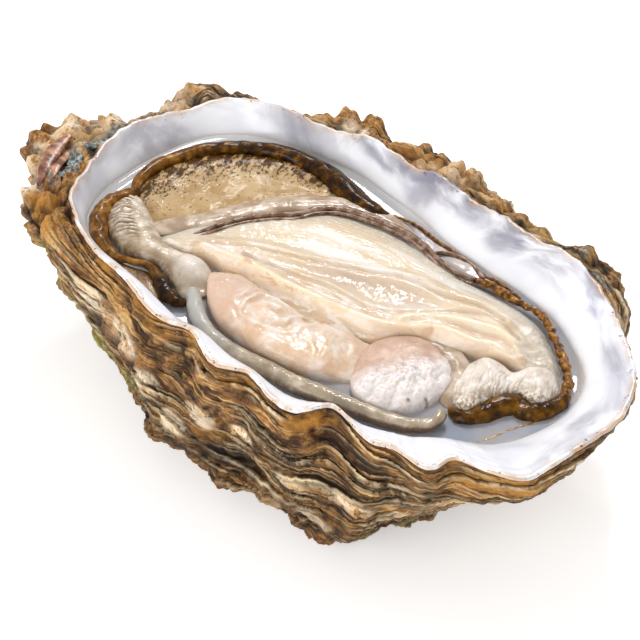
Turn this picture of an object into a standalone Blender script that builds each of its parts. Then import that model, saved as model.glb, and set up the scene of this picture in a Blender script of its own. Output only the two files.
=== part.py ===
"""Oyster on the half shell: a deep cupped shell with its pale lip, and the meat lying in its liquor.

Every outline is drawn in millimetres, seen from above. +X runs from the hinge to the bill, the
thin growing end, and +Z is up. The shell rests on a flat spot under its cup, at z = 0.
"""
import math

import bmesh
import bpy
import numpy as np
from mathutils import Vector, noise

MM = 0.001
GAP = 0.35

# Heights, in mm above the surface that the shell stands on
LIP_Z = 35.5
SHOULDER_Z = 32.0
WAIST_Z = 16.0
HEEL_Z = 5.0
MOUTH_Z = 30.0
FLOOR_Z = 12.0
BOWL_BEND = 0.5
BILL_BEND = 1.1
BILL_BEARING = -12.0
LIQUOR_Z = 29.6
MEAT_BASE_Z = 27.0

# The plan's centre, from which every bearing is measured, and the shift that centres the whole
CENTRE = (5.0, 1.0)
SHIFT = (4.0, -4.1)

# Resolution of the faceted solids
SPOKES = 112
BOWL_ROWS = 4
SLOPE_ROWS = 3
WALL_ROWS = 22

# Growth sheets and crags on the outside
SHEET_STEP = 0.85
CRAG_HEIGHT = 1.5
CRAG_SIZE = 7.0

# Outer edge of the pale lip, from the bill anticlockwise past the hinge and along the front
LIP = [
    (61, -8), (59, 1), (53, 9), (46, 18), (38, 23), (29, 25), (23, 27), (14, 30), (1, 33), (-9, 36),
    (-20, 35), (-31, 36), (-40, 34), (-44, 28), (-48, 21), (-51, 14), (-51, 5), (-48, -6),
    (-45, -9), (-37, -15), (-29, -19), (-21, -23), (-12, -25), (-4, -30), (2, -29), (7, -31),
    (13, -33), (20, -30), (27, -33), (32, -33), (38, -35), (42, -31), (48, -31), (53, -30),
    (56, -25), (59, -17),
]

# Where the lip's slope ends and the bowl falls away below the liquor
MOUTH = [
    (51, -7), (50, 1), (45, 7), (39, 12), (33, 15), (27, 17), (20, 19), (13, 22), (5, 26),
    (-3, 29), (-12, 32), (-23, 33), (-32, 32), (-39, 28), (-44, 20), (-47, 11), (-48, 3),
    (-46, -4), (-40, -10), (-31, -15), (-20, -19.5), (-10, -23), (4, -27), (15, -28.6), (24, -28.6),
    (33, -27), (42, -22), (48, -15),
]

# How far the crust stands out beyond the lip at three heights: (bearing in degrees, mm)
OVERHANG = [
    (0, -1), (8, 1), (20, 2.5), (34, 5.5), (41, 5.5), (48, 4), (59, 5), (67, 4), (79, 5.5),
    (88, 7.5), (95, 7), (105, 5), (113, 8.5), (123, 5), (135, 5), (140, 7), (146, 8.5), (151, 6),
    (156, 3), (161, 6), (166, 13), (172, 16.5), (178, 12), (184, 10), (190, 9), (197, 3.5),
    (207, 1.5), (225, 0.5), (250, 0.5), (275, 0.5), (300, 1), (325, 0), (340, -0.5), (350, -1.5),
]
WAIST = [
    (0, -13), (20, -8), (40, -3), (60, 0), (80, 1), (100, 2), (120, 2), (140, 3), (160, 6),
    (172, 8), (182, 3.5), (190, 1.5), (200, 1), (215, 1), (228, 3.5), (238, 3.5), (252, 0),
    (265, 0), (277, 1), (289, 3.5), (298, 4.5), (307, -2.5), (316, -8), (330, -14.5), (345, -20.5),
]
HEEL = [
    (0, -28), (20, -21), (40, -13), (60, -9), (90, -7), (120, -8), (145, -8), (165, -6),
    (185, -5), (205, -4), (225, 0.5), (240, 0), (265, -2), (280, -2), (295, -0.5), (305, -8),
    (316, -17), (330, -26), (346, -30),
]
SOLE_INSET = 8.0


def curve(points, count):
    """Points along a smooth open curve through the given ones, evenly spaced."""
    points = np.array(points, dtype=float)
    run = np.concatenate([[0.0], np.cumsum(np.linalg.norm(np.diff(points, axis=0), axis=1))])
    slope = np.gradient(points, run, axis=0)
    at = np.linspace(0.0, run[-1], count)
    i = np.clip(np.searchsorted(run, at, side="right") - 1, 0, len(run) - 2)
    step = (run[i + 1] - run[i])[:, None]
    t = (at - run[i])[:, None] / step
    return ((2 * t**3 - 3 * t**2 + 1) * points[i] + (t**3 - 2 * t**2 + t) * step * slope[i]
            + (3 * t**2 - 2 * t**3) * points[i + 1] + (t**3 - t**2) * step * slope[i + 1])


def ring(pairs):
    """A smooth value all round the shell, through (bearing in degrees, value) pairs."""
    pairs = sorted((bearing % 360, value) for bearing, value in pairs)
    angle = np.array([bearing for bearing, value in pairs])
    level = np.array([value for bearing, value in pairs], dtype=float)
    angle = np.concatenate([angle[-2:] - 360, angle, angle[:2] + 360])
    level = np.concatenate([level[-2:], level, level[:2]])
    slope = np.gradient(level, angle)

    def at(bearing):
        bearing = np.asarray(bearing) % 360
        i = np.clip(np.searchsorted(angle, bearing, side="right") - 1, 0, len(angle) - 2)
        step = angle[i + 1] - angle[i]
        t = (bearing - angle[i]) / step
        return ((2 * t**3 - 3 * t**2 + 1) * level[i] + (t**3 - 2 * t**2 + t) * step * slope[i]
                + (3 * t**2 - 2 * t**3) * level[i + 1] + (t**3 - t**2) * step * slope[i + 1])

    return at


def outline(points):
    """The radius all round a closed outline that is drawn as points."""
    pairs = []
    for x, y in points:
        across, up = x - CENTRE[0], y - CENTRE[1]
        pairs.append((math.degrees(math.atan2(up, across)), math.hypot(across, up)))
    return ring(pairs)


def smoothstep(value, low, high):
    t = np.clip((value - low) / (high - low), 0.0, 1.0)
    return t * t * (3 - 2 * t)


def place(radius, bearing, height):
    """Model coordinates in metres of points given by radius, bearing and height in mm."""
    angle = np.radians(bearing)
    x = CENTRE[0] + radius * np.cos(angle) + SHIFT[0]
    y = CENTRE[1] + radius * np.sin(angle) + SHIFT[1]
    return np.stack([x, y, np.broadcast_to(height, np.shape(x))], axis=-1) * MM


def material(name, colour, roughness):
    finish = bpy.data.materials.new(name)
    finish.use_nodes = True
    shader = finish.node_tree.nodes["Principled BSDF"]
    shader.inputs["Base Color"].default_value = (*colour, 1.0)
    shader.inputs["Roughness"].default_value = roughness
    shader.inputs["Metallic"].default_value = 0.0
    return finish


def closed_object(name, rows, closed_rows, finish):
    """A closed solid through rows of points; each row is a loop, and its two ends get a hub."""
    mesh = bmesh.new()
    loops = [[mesh.verts.new(point) for point in row] for row in rows]
    for near, far in zip(loops, loops[1:]):
        count = len(near)
        for j in range(count):
            k = (j + 1) % count
            mesh.faces.new((near[j], near[k], far[k], far[j]))
    for loop, hub in zip((loops[0], loops[-1]), closed_rows):
        tip = mesh.verts.new(hub)
        for j in range(len(loop)):
            mesh.faces.new((loop[j], loop[(j + 1) % len(loop)], tip))
    bmesh.ops.recalc_face_normals(mesh, faces=mesh.faces)
    bmesh.ops.triangulate(mesh, faces=mesh.faces)
    data = bpy.data.meshes.new(name)
    mesh.to_mesh(data)
    mesh.free()
    data.shade_smooth()
    data.set_sharp_from_angle(angle=math.radians(35))
    data.materials.append(finish)
    item = bpy.data.objects.new(name, data)
    bpy.context.scene.collection.objects.link(item)
    return item


# The shell

lip_radius = outline(LIP)
mouth_radius = outline(MOUTH)
overhang = ring(OVERHANG)
waist = ring(WAIST)
heel = ring(HEEL)


def lip_height(bearing):
    """The lip dips between its front scallops and lifts a little at the bill."""
    angle = np.radians(bearing)
    return LIP_Z + 0.5 * np.sin(9 * angle + 0.6) + 0.4 * np.sin(14 * angle)


def bowl(bearing, share):
    """Radius and height inside the bowl, from the floor (0) up to the mouth (1)."""
    towards_bill = np.cos(np.radians(bearing - BILL_BEARING))
    bend = BOWL_BEND + (BILL_BEND - BOWL_BEND) * smoothstep(towards_bill, 0.5, 0.9)
    turn = share * math.pi / 2
    radius = mouth_radius(bearing) * math.sin(turn) ** bend
    return radius, MOUTH_Z - (MOUTH_Z - FLOOR_Z) * math.cos(turn) ** bend


def wall(bearing):
    """Radius and height down the outside at one bearing, from the lip to the sole."""
    lip = float(lip_radius(bearing))
    foot = lip + float(heel(bearing))
    knots = [
        (lip + 0.2, float(lip_height(bearing)) - 0.6),
        (lip + float(overhang(bearing)), SHOULDER_Z),
        (lip + float(waist(bearing)), WAIST_Z),
        (foot, HEEL_Z),
        (foot - SOLE_INSET, 0.0),
    ]
    return curve(knots, WALL_ROWS + 1)


def sheet_relief(row):
    """Each growth sheet steps out at its upper edge and falls back in over two rows."""
    return SHEET_STEP if row % 2 else -SHEET_STEP


def crag_relief(point):
    """Rounded knobs and pits of the crust, in mm."""
    spot = Vector(point) / (CRAG_SIZE * MM)
    knobs = noise.noise(spot) + 0.5 * noise.noise(spot * 2.3)
    return CRAG_HEIGHT * knobs


def build_shell():
    bearings = np.arange(SPOKES) * 360.0 / SPOKES
    lip = lip_radius(bearings)
    mouth = mouth_radius(bearings)
    top = lip_height(bearings)
    rows = []
    for i in range(1, BOWL_ROWS + 1):
        radius, height = bowl(bearings, i / BOWL_ROWS)
        rows.append(place(radius, bearings, height))
    for i in range(1, SLOPE_ROWS + 1):
        share = i / SLOPE_ROWS
        radius = mouth + (lip - 0.6 - mouth) * share
        rows.append(place(radius, bearings, MOUTH_Z + (top - MOUTH_Z) * share**0.8))

    walls = np.array([wall(bearing) for bearing in bearings])
    down = np.gradient(walls, axis=1)
    down /= np.linalg.norm(down, axis=2, keepdims=True)
    craggy = 0.7 + 0.5 * smoothstep(overhang(bearings), 2.0, 8.0)
    for i in range(WALL_ROWS + 1):
        radius, height = walls[:, i, 0], walls[:, i, 1]
        base = place(radius, bearings, height)
        relief = np.array([crag_relief(point) for point in base]) * craggy
        relief += sheet_relief(i) * (0.5 + 0.5 * i / WALL_ROWS)
        relief *= smoothstep(height, 0.0, 4.0) * min(1.0, i / 2)
        radius = radius - relief * down[:, i, 1]
        height = np.maximum(height + relief * down[:, i, 0], 0.0)
        rows.append(place(radius, bearings, height))
    hubs = [place(0.0, 0.0, FLOOR_Z), place(0.0, 0.0, 0.0)]
    return closed_object("shell", rows, hubs, material("shell", (0.42, 0.30, 0.18), 0.75))


# The meat

def dome(share, power):
    """1 over the middle and 0 at both ends, with rounded shoulders."""
    return (1.0 - abs(2.0 * share - 1.0) ** power) ** 0.5


def cushion(name, side_a, side_b, top, fall, size, finish, power=3.5):
    """A soft closed form between two side curves, crowned on top, with upright flanks.

    top(along, across) is the height of its crown and fall is how far that rounds down at the rim.
    """
    along, across = size
    near = curve(side_a, along + 1)
    far = curve(side_b, along + 1)
    rows = []
    for i in range(along + 1):
        u = i / along
        row = []
        for j in range(across + 1):
            v = j / across
            x, y = near[i] + (far[i] - near[i]) * v
            rim = 1.0 - dome(0.02 + 0.96 * u, power) * dome(v, power)
            row.append((x + SHIFT[0], y + SHIFT[1], top(u, v) - fall * rim))
        for end in (far[i], near[i]):
            row.append((end[0] + SHIFT[0], end[1] + SHIFT[1], MEAT_BASE_Z))
        rows.append(np.array(row) * MM)
    hubs = [rows[0].mean(axis=0), rows[-1].mean(axis=0)]
    return closed_object(name, rows, hubs, finish)


def bump(value, middle, width):
    """A smooth rise of height 1 about a middle."""
    return math.exp(-((value - middle) / width) ** 2)


# The rear edge of the gill leaf, shared with the mantle flap behind it
LEAF_REAR = [
    (-27, 0), (-25, 4.2), (-18.5, 11.5), (-12.5, 15.8), (-6.5, 19.2), (-0.5, 19.8), (8, 18.6),
    (16, 15.6), (22, 13.2), (28, 12.2), (34, 10.6), (38.3, 8.2), (42, 4.6), (45.2, 0.6), (47, -3.5),
]
LEAF_FRONT = [
    (-26, -2.5), (-21, -2.8), (-15, -4.2), (-7.5, -6.8), (1.5, -9.6), (9, -9.2), (14, -7.6),
    (20, -3.4), (27, -3.4), (33, -1.2), (38.5, -1.2), (42.6, -3), (45.6, -6),
]


def leaf_top(u, v):
    """Two long soft ridges run down the leaf and fan out of its narrow hinge end."""
    front = 1.6 * bump(v, 0.84, 0.10)
    crease = -0.9 * bump(v, 0.66, 0.07)
    middle = 0.9 * bump(v, 0.52, 0.08) * smoothstep(u, 0.1, 0.4)
    thin_rim = -1.4 * smoothstep(1 - v, 0.7, 1.0)
    return 32.6 + (front + crease + middle) * dome(0.05 + 0.9 * u, 2) + thin_rim


def build_gills():
    finish = material("gills", (0.83, 0.70, 0.50), 0.35)
    return cushion("gills", LEAF_REAR, LEAF_FRONT, leaf_top, 1.6, (34, 14), finish)


def build_body():
    rear = [(-17, -6), (-13, -5.5), (-7.5, -7.7), (1.5, -10.5), (8, -10.2), (13, -8.6)]
    front = [(-16.5, -9), (-14.5, -13), (-11, -15.8), (-5, -18.4), (2, -20), (8, -20.2), (13, -18)]

    def top(u, v):
        swirl = 0.5 * math.sin(9 * u + 5 * v) * bump(u, 0.35, 0.25)
        return 33.2 + 1.0 * bump(u, 0.35, 0.4) + swirl

    finish = material("visceral_mass", (0.84, 0.66, 0.48), 0.35)
    return cushion("visceral_mass", rear, front, top, 2.6, (22, 12), finish, power=2.6)


def build_mantle_back():
    rear = [
        (-41.5, 7), (-43.5, 13), (-41.5, 19), (-37.5, 24), (-31, 28), (-24, 29.8), (-17, 29.4),
        (-10, 27.6), (-4, 25.8), (1, 23.6),
    ]
    front = [
        (-33, 0.5), (-29.5, 3), (-25.8, 5.6), (-19.4, 12.4), (-13, 16.8), (-6.8, 20.2), (-0.8, 21),
        (1.5, 22),
    ]

    def top(u, v):
        rolled_edge = 1.9 * bump(v, 0.08, 0.13)
        ledge = 1.1 * bump(v, 0.9, 0.12)
        return 30.6 + rolled_edge + ledge - 0.8 * bump(v, 0.6, 0.2)

    finish = material("mantle_back", (0.72, 0.60, 0.38), 0.35)
    return cushion("mantle_back", rear, front, top, 1.4, (26, 10), finish)


def build_mantle_left():
    outer = [
        (-43.5, 5.5), (-44.5, 1), (-43, -4), (-39.5, -7.5), (-34, -10), (-28, -12.4), (-22, -15),
        (-17.8, -14),
    ]
    inner = [
        (-41.6, 5.8), (-38.5, 4), (-34.5, -0.5), (-31, -2.5), (-27.5, -4), (-22, -4.8),
        (-18.3, -7), (-17.2, -10), (-16.8, -12.4),
    ]

    def top(u, v):
        frill = 0.35 * math.sin(44 * u) * smoothstep(0.5 - u, 0.0, 0.3)
        dark_edge = -1.3 * smoothstep(1 - v, 0.6, 0.95)
        return 33.0 + frill + dark_edge

    finish = material("mantle_left", (0.55, 0.53, 0.45), 0.3)
    return cushion("mantle_left", outer, inner, top, 2.4, (24, 8), finish, power=2.6)


def build_mantle_front():
    outer = [
        (-17, -15.8), (-12, -19.2), (-7, -21.6), (0.5, -24), (8, -25.6), (16, -26), (23, -25.8),
        (29, -24.8), (33, -23), (34.6, -20.6), (34, -18),
    ]
    inner = [
        (-15.6, -14), (-11.5, -17), (-5.5, -19.4), (2, -21), (8, -21.4), (14, -22), (20, -22.2),
        (25, -22), (29, -21.4), (31.2, -19.8), (31.8, -17.6),
    ]

    def top(u, v):
        return 31.6 + 1.4 * smoothstep(u, 0.75, 1.0) + 0.25 * math.sin(60 * u)

    finish = material("mantle_front", (0.50, 0.48, 0.38), 0.3)
    return cushion("mantle_front", outer, inner, top, 2.2, (30, 6), finish, power=2.2)


def build_mantle_right():
    outer = [
        (33, -12), (34.5, -16), (38, -16), (40.5, -12.8), (43.5, -11.6), (45.8, -10.2), (46.4, -8.6),
    ]
    inner = [(32, -9), (31.4, -5), (33, -2.4), (38.4, -2.4), (42, -4.2), (44.2, -6.8), (45.4, -7.6)]

    def top(u, v):
        lobes = 0.9 * math.cos(4 * math.pi * u)
        fringe = 0.3 * math.sin(50 * u) * (1 - v)
        return 32.6 - lobes + fringe - 1.2 * smoothstep(1 - v, 0.6, 1.0)

    finish = material("mantle_right", (0.70, 0.66, 0.54), 0.35)
    return cushion("mantle_right", outer, inner, top, 2.0, (26, 8), finish, power=2.6)


ADDUCTOR_AT = (22.4, -12.6)
ADDUCTOR_RADII = (8.3, 8.8)
ADDUCTOR_TOP_Z = 33.2


def build_adductor():
    """The muscle that held the two valves: a short stout column with a domed, cut top."""
    turn = np.linspace(0.0, 2 * math.pi, 28, endpoint=False)
    profile = [(0.94, MEAT_BASE_Z), (0.98, 29.0), (1.0, 31.2), (0.94, 32.4), (0.7, 33.0), (0.35, 33.2)]
    rows = []
    for share, height in profile:
        wobble = 1 + 0.03 * np.sin(3 * turn + 1) + 0.02 * np.sin(5 * turn)
        x = ADDUCTOR_AT[0] + SHIFT[0] + ADDUCTOR_RADII[0] * share * wobble * np.cos(turn)
        y = ADDUCTOR_AT[1] + SHIFT[1] + ADDUCTOR_RADII[1] * share * wobble * np.sin(turn)
        rows.append(np.stack([x, y, np.full_like(x, height)], axis=-1) * MM)
    middle = (ADDUCTOR_AT[0] + SHIFT[0], ADDUCTOR_AT[1] + SHIFT[1])
    hubs = [np.array([*middle, MEAT_BASE_Z]) * MM, np.array([*middle, ADDUCTOR_TOP_Z]) * MM]
    finish = material("adductor_muscle", (0.80, 0.66, 0.56), 0.4)
    return closed_object("adductor_muscle", rows, hubs, finish)


# The bed that the meat lies in, drawn just outside the whole of it
BED = [
    (50, -6), (49.4, -3.4), (47.2, 1.6), (43.6, 5.8), (39.3, 9.6), (34.6, 12), (28.2, 13.4),
    (22.4, 14.4), (16.4, 16.8), (8.4, 19.8), (3.4, 22.4), (2.2, 24.6), (-4, 26.8), (-10, 28.7),
    (-17, 30.4), (-24, 30.8), (-31.4, 29), (-38.3, 24.8), (-42.5, 19.5), (-44.6, 13), (-44.8, 6),
    (-45.5, 1), (-44, -4.6), (-40, -8.6), (-34.3, -11.2), (-28, -13.6), (-22, -16.2),
    (-17.4, -17.3), (-12.2, -20.6), (-7.2, -23.2), (0.5, -25.3), (8, -26.8), (16, -27.1),
    (23, -26.9), (29.3, -25.8), (34, -23.8), (35.8, -20.8), (35.6, -17.8), (38.8, -17),
    (41.4, -13.8), (44, -12.6), (47.8, -11.2), (49.6, -8.6),
]
LIQUOR_RIM = 0.5


def build_liquor():
    """The oyster's own liquor fills the bowl to its level and is cut round the meat."""
    bearings = np.arange(SPOKES) * 360.0 / SPOKES
    levels = [bowl(bearings, i / BOWL_ROWS) for i in range(1, BOWL_ROWS + 1)]
    pocket_z = MEAT_BASE_Z - GAP
    (low, low_z), (high, high_z) = levels[-2:]
    bowl_at_pocket = low + (high - low) * (pocket_z - low_z) / (high_z - low_z)
    bed = np.minimum(outline(BED)(bearings), bowl_at_pocket - 2 * GAP - LIQUOR_RIM)
    rows = [place(radius - GAP * (1 + i / BOWL_ROWS), bearings, np.minimum(height + GAP, LIQUOR_Z))
            for i, (radius, height) in enumerate(levels, start=1)]
    rows.append(place(bed, bearings, LIQUOR_Z))
    rows.append(place(bed, bearings, pocket_z))
    hubs = [place(0.0, 0.0, FLOOR_Z + GAP), place(0.0, 0.0, pocket_z)]
    return closed_object("liquor", rows, hubs, material("liquor", (0.74, 0.76, 0.74), 0.05))


def main():
    for item in list(bpy.data.objects):
        bpy.data.objects.remove(item, do_unlink=True)
    build_shell()
    build_liquor()
    build_gills()
    build_body()
    build_mantle_back()
    build_mantle_left()
    build_mantle_front()
    build_mantle_right()
    build_adductor()


main()
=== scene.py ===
# %% [markdown]
# # An oyster on the half shell
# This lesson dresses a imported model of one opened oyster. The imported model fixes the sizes: a deep
# cup of shell about 130 mm long, a pool of liquor, and the meat in seven soft pieces. Here each of
# them gets its real surface: flaky growth sheets outside, pearly lining inside, wet folded flesh.
# The first cell loads that model, so that everything below is made in the same frame, in metres.

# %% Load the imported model
import math

import bpy
import numpy as np
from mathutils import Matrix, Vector, noise


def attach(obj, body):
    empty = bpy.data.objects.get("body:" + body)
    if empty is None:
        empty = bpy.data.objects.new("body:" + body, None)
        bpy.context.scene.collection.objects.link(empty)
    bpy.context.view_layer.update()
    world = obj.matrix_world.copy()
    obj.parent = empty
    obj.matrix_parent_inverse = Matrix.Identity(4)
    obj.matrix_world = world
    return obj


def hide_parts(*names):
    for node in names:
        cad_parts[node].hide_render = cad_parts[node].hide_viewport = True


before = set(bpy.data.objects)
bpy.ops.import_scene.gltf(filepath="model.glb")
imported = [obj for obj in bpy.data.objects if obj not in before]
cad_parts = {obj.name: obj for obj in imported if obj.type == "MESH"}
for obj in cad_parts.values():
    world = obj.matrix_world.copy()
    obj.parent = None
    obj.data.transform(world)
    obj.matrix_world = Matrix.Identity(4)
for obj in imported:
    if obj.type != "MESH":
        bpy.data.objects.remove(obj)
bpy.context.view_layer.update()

# %% [markdown]
# ## Drawing the oyster
# The shell has no straight edge, so it is drawn like a chart: for each bearing round its middle, a
# distance in millimetres. A smooth ring through a few dozen such distances gives the lip, and open
# smooth curves give the edges of the soft parts. Drawn points keep their meaning when the
# shape is edited later, which a sculpted mesh doesn't.

# %% Smooth curves and rings
MM = 0.001
CENTRE = (5.0, 1.0)
SHIFT = (4.0, -4.1)


def hermite(t, step, level_a, level_b, slope_a, slope_b):
    """The cubic between two levels that leaves and arrives with the two slopes."""
    return ((2 * t**3 - 3 * t**2 + 1) * level_a + (t**3 - 2 * t**2 + t) * step * slope_a
            + (3 * t**2 - 2 * t**3) * level_b + (t**3 - t**2) * step * slope_b)


def curve(points, count):
    """Evenly spaced points along a smooth open curve through the given ones."""
    points = np.array(points, dtype=float)
    run = np.concatenate([[0.0], np.cumsum(np.linalg.norm(np.diff(points, axis=0), axis=1))])
    slope = np.gradient(points, run, axis=0)
    at = np.linspace(0.0, run[-1], count)
    i = np.clip(np.searchsorted(run, at, side="right") - 1, 0, len(run) - 2)
    step = (run[i + 1] - run[i])[:, None]
    t = (at - run[i])[:, None] / step
    return hermite(t, step, points[i], points[i + 1], slope[i], slope[i + 1])


def ring(pairs):
    """A smooth value all round the shell, through (bearing in degrees, value) pairs."""
    pairs = sorted((bearing % 360, value) for bearing, value in pairs)
    angle = np.array([bearing for bearing, value in pairs])
    level = np.array([value for bearing, value in pairs], dtype=float)
    angle = np.concatenate([angle[-2:] - 360, angle, angle[:2] + 360])
    level = np.concatenate([level[-2:], level, level[:2]])
    slope = np.gradient(level, angle)

    def at(bearing):
        bearing = np.asarray(bearing) % 360
        i = np.clip(np.searchsorted(angle, bearing, side="right") - 1, 0, len(angle) - 2)
        step = angle[i + 1] - angle[i]
        return hermite((bearing - angle[i]) / step, step, level[i], level[i + 1], slope[i], slope[i + 1])

    return at


def outline(points):
    """The radius all round a closed outline that is drawn as points."""
    pairs = []
    for x, y in points:
        across, up = x - CENTRE[0], y - CENTRE[1]
        pairs.append((math.degrees(math.atan2(up, across)), math.hypot(across, up)))
    return ring(pairs)


def smoothstep(value, low, high):
    t = np.clip((value - low) / (high - low), 0.0, 1.0)
    return t * t * (3 - 2 * t)


def bump(value, middle, width):
    """A smooth rise of height 1 about a middle."""
    return np.exp(-((value - middle) / width) ** 2)


def place(radius, bearing, height):
    """Model coordinates in metres of points given by radius, bearing and height in mm."""
    angle = np.radians(bearing)
    x = CENTRE[0] + radius * np.cos(angle) + SHIFT[0]
    y = CENTRE[1] + radius * np.sin(angle) + SHIFT[1]
    return np.stack([x, y, np.broadcast_to(height, np.shape(x))], axis=-1) * MM


def roughen(points, size, pattern=noise.noise):
    """Smooth random values from about -1 to 1, whose lumps measure `size` in the points' unit."""
    flat = np.asarray(points, dtype=float).reshape(-1, 3) / size
    return np.array([pattern(Vector(p)) for p in flat]).reshape(np.shape(points)[:-1])


print("a quarter turn from 10 to 20, a smooth ring gives", round(float(ring([(0, 10), (180, 20)])(90)), 1))


# %% [markdown]
# ## Meshes from rows of points
# Every piece here is a closed skin over rows of points, each row a loop, with a cap on its first
# and last row. That is what a loft does in other programs. Writing it once keeps the pieces short,
# and each vertex can then carry named numbers, such as how near it lies to an edge. The materials
# read those numbers, so colour and form always agree. A flat map of rows and columns goes along.

# %% One function makes every skin
MAP_MARGIN = 0.03


def skin(name, rows, marks=None, hubs=None, slot=None, stands_for=()):
    """A closed mesh over an array of rows of points in metres. `marks` are values for each point."""
    rows = np.asarray(rows, dtype=float)
    count, width = rows.shape[:2]
    first, last = hubs if hubs is not None else (rows[0].mean(axis=0), rows[-1].mean(axis=0))
    points = np.concatenate([rows.reshape(-1, 3), [first, last]])
    at = np.arange(count * width).reshape(count, width)
    beside = np.roll(at, -1, axis=1)
    quads = np.stack([at[:-1], beside[:-1], beside[1:], at[1:]], axis=-1).reshape(-1, 4)
    caps = [np.stack([beside[0], at[0], np.full(width, count * width)], axis=-1),
            np.stack([at[-1], beside[-1], np.full(width, count * width + 1)], axis=-1)]
    mesh = bpy.data.meshes.new(name)
    mesh.from_pydata(points.tolist(), [], quads.tolist() + caps[0].tolist() + caps[1].tolist())

    across = np.arange(width + 1) / width
    down = MAP_MARGIN + (1 - 2 * MAP_MARGIN) * np.arange(count) / (count - 1)
    u0, u1 = np.broadcast_to(across[:-1], (count, width)), np.broadcast_to(across[1:], (count, width))
    v = np.broadcast_to(down[:, None], (count, width))
    corners = np.stack([u0[:-1], v[:-1], u1[:-1], v[:-1], u1[1:], v[1:], u0[1:], v[1:]], axis=-1)
    middle = (across[:-1] + across[1:]) / 2
    top = np.stack([across[1:], v[0], across[:-1], v[0], middle, 0 * middle], axis=-1)
    end = np.stack([across[:-1], v[-1], across[1:], v[-1], middle, 0 * middle + 1], axis=-1)
    flat_map = mesh.uv_layers.new(name="OFBake")
    flat_map.data.foreach_set("uv", np.concatenate([corners.ravel(), top.ravel(), end.ravel()]))

    for label, values in (marks or {}).items():
        values = np.broadcast_to(values, (count, width))
        values = np.concatenate([values.ravel(), [values[0].mean(), values[-1].mean()]])
        mark = mesh.attributes.new(label, "FLOAT", "POINT")
        mark.data.foreach_set("value", values.astype(np.float32))
    mesh.validate()
    mesh.shade_smooth()
    piece = bpy.data.objects.new(name, mesh)
    bpy.context.scene.collection.objects.link(piece)
    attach(piece, "root")
    if stands_for:
        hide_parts(*stands_for)
    print(f"{name}: {2 * len(quads) + 2 * width} triangles")
    return piece


print("each flat map keeps", MAP_MARGIN, "of its height free for the caps")


# %% [markdown]
# ## A palette for materials
# Materials are small graphs of nodes. The next helpers name the few kinds that this object needs,
# so that each finish below reads like a recipe: look up a mark, mix two colours by it, break it up
# with noise. Colours are given as they look on a screen and turned into the linear values that the
# shader wants. A colour is laid over another one where all of its masks agree.

# %% Helpers for node materials
def tint(red, green, blue):
    """A linear colour from screen values between 0 and 255."""
    return tuple((c / 12.92 if c <= 0.04045 else ((c + 0.055) / 1.055) ** 2.4)
                 for c in (red / 255, green / 255, blue / 255)) + (1.0,)


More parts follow.
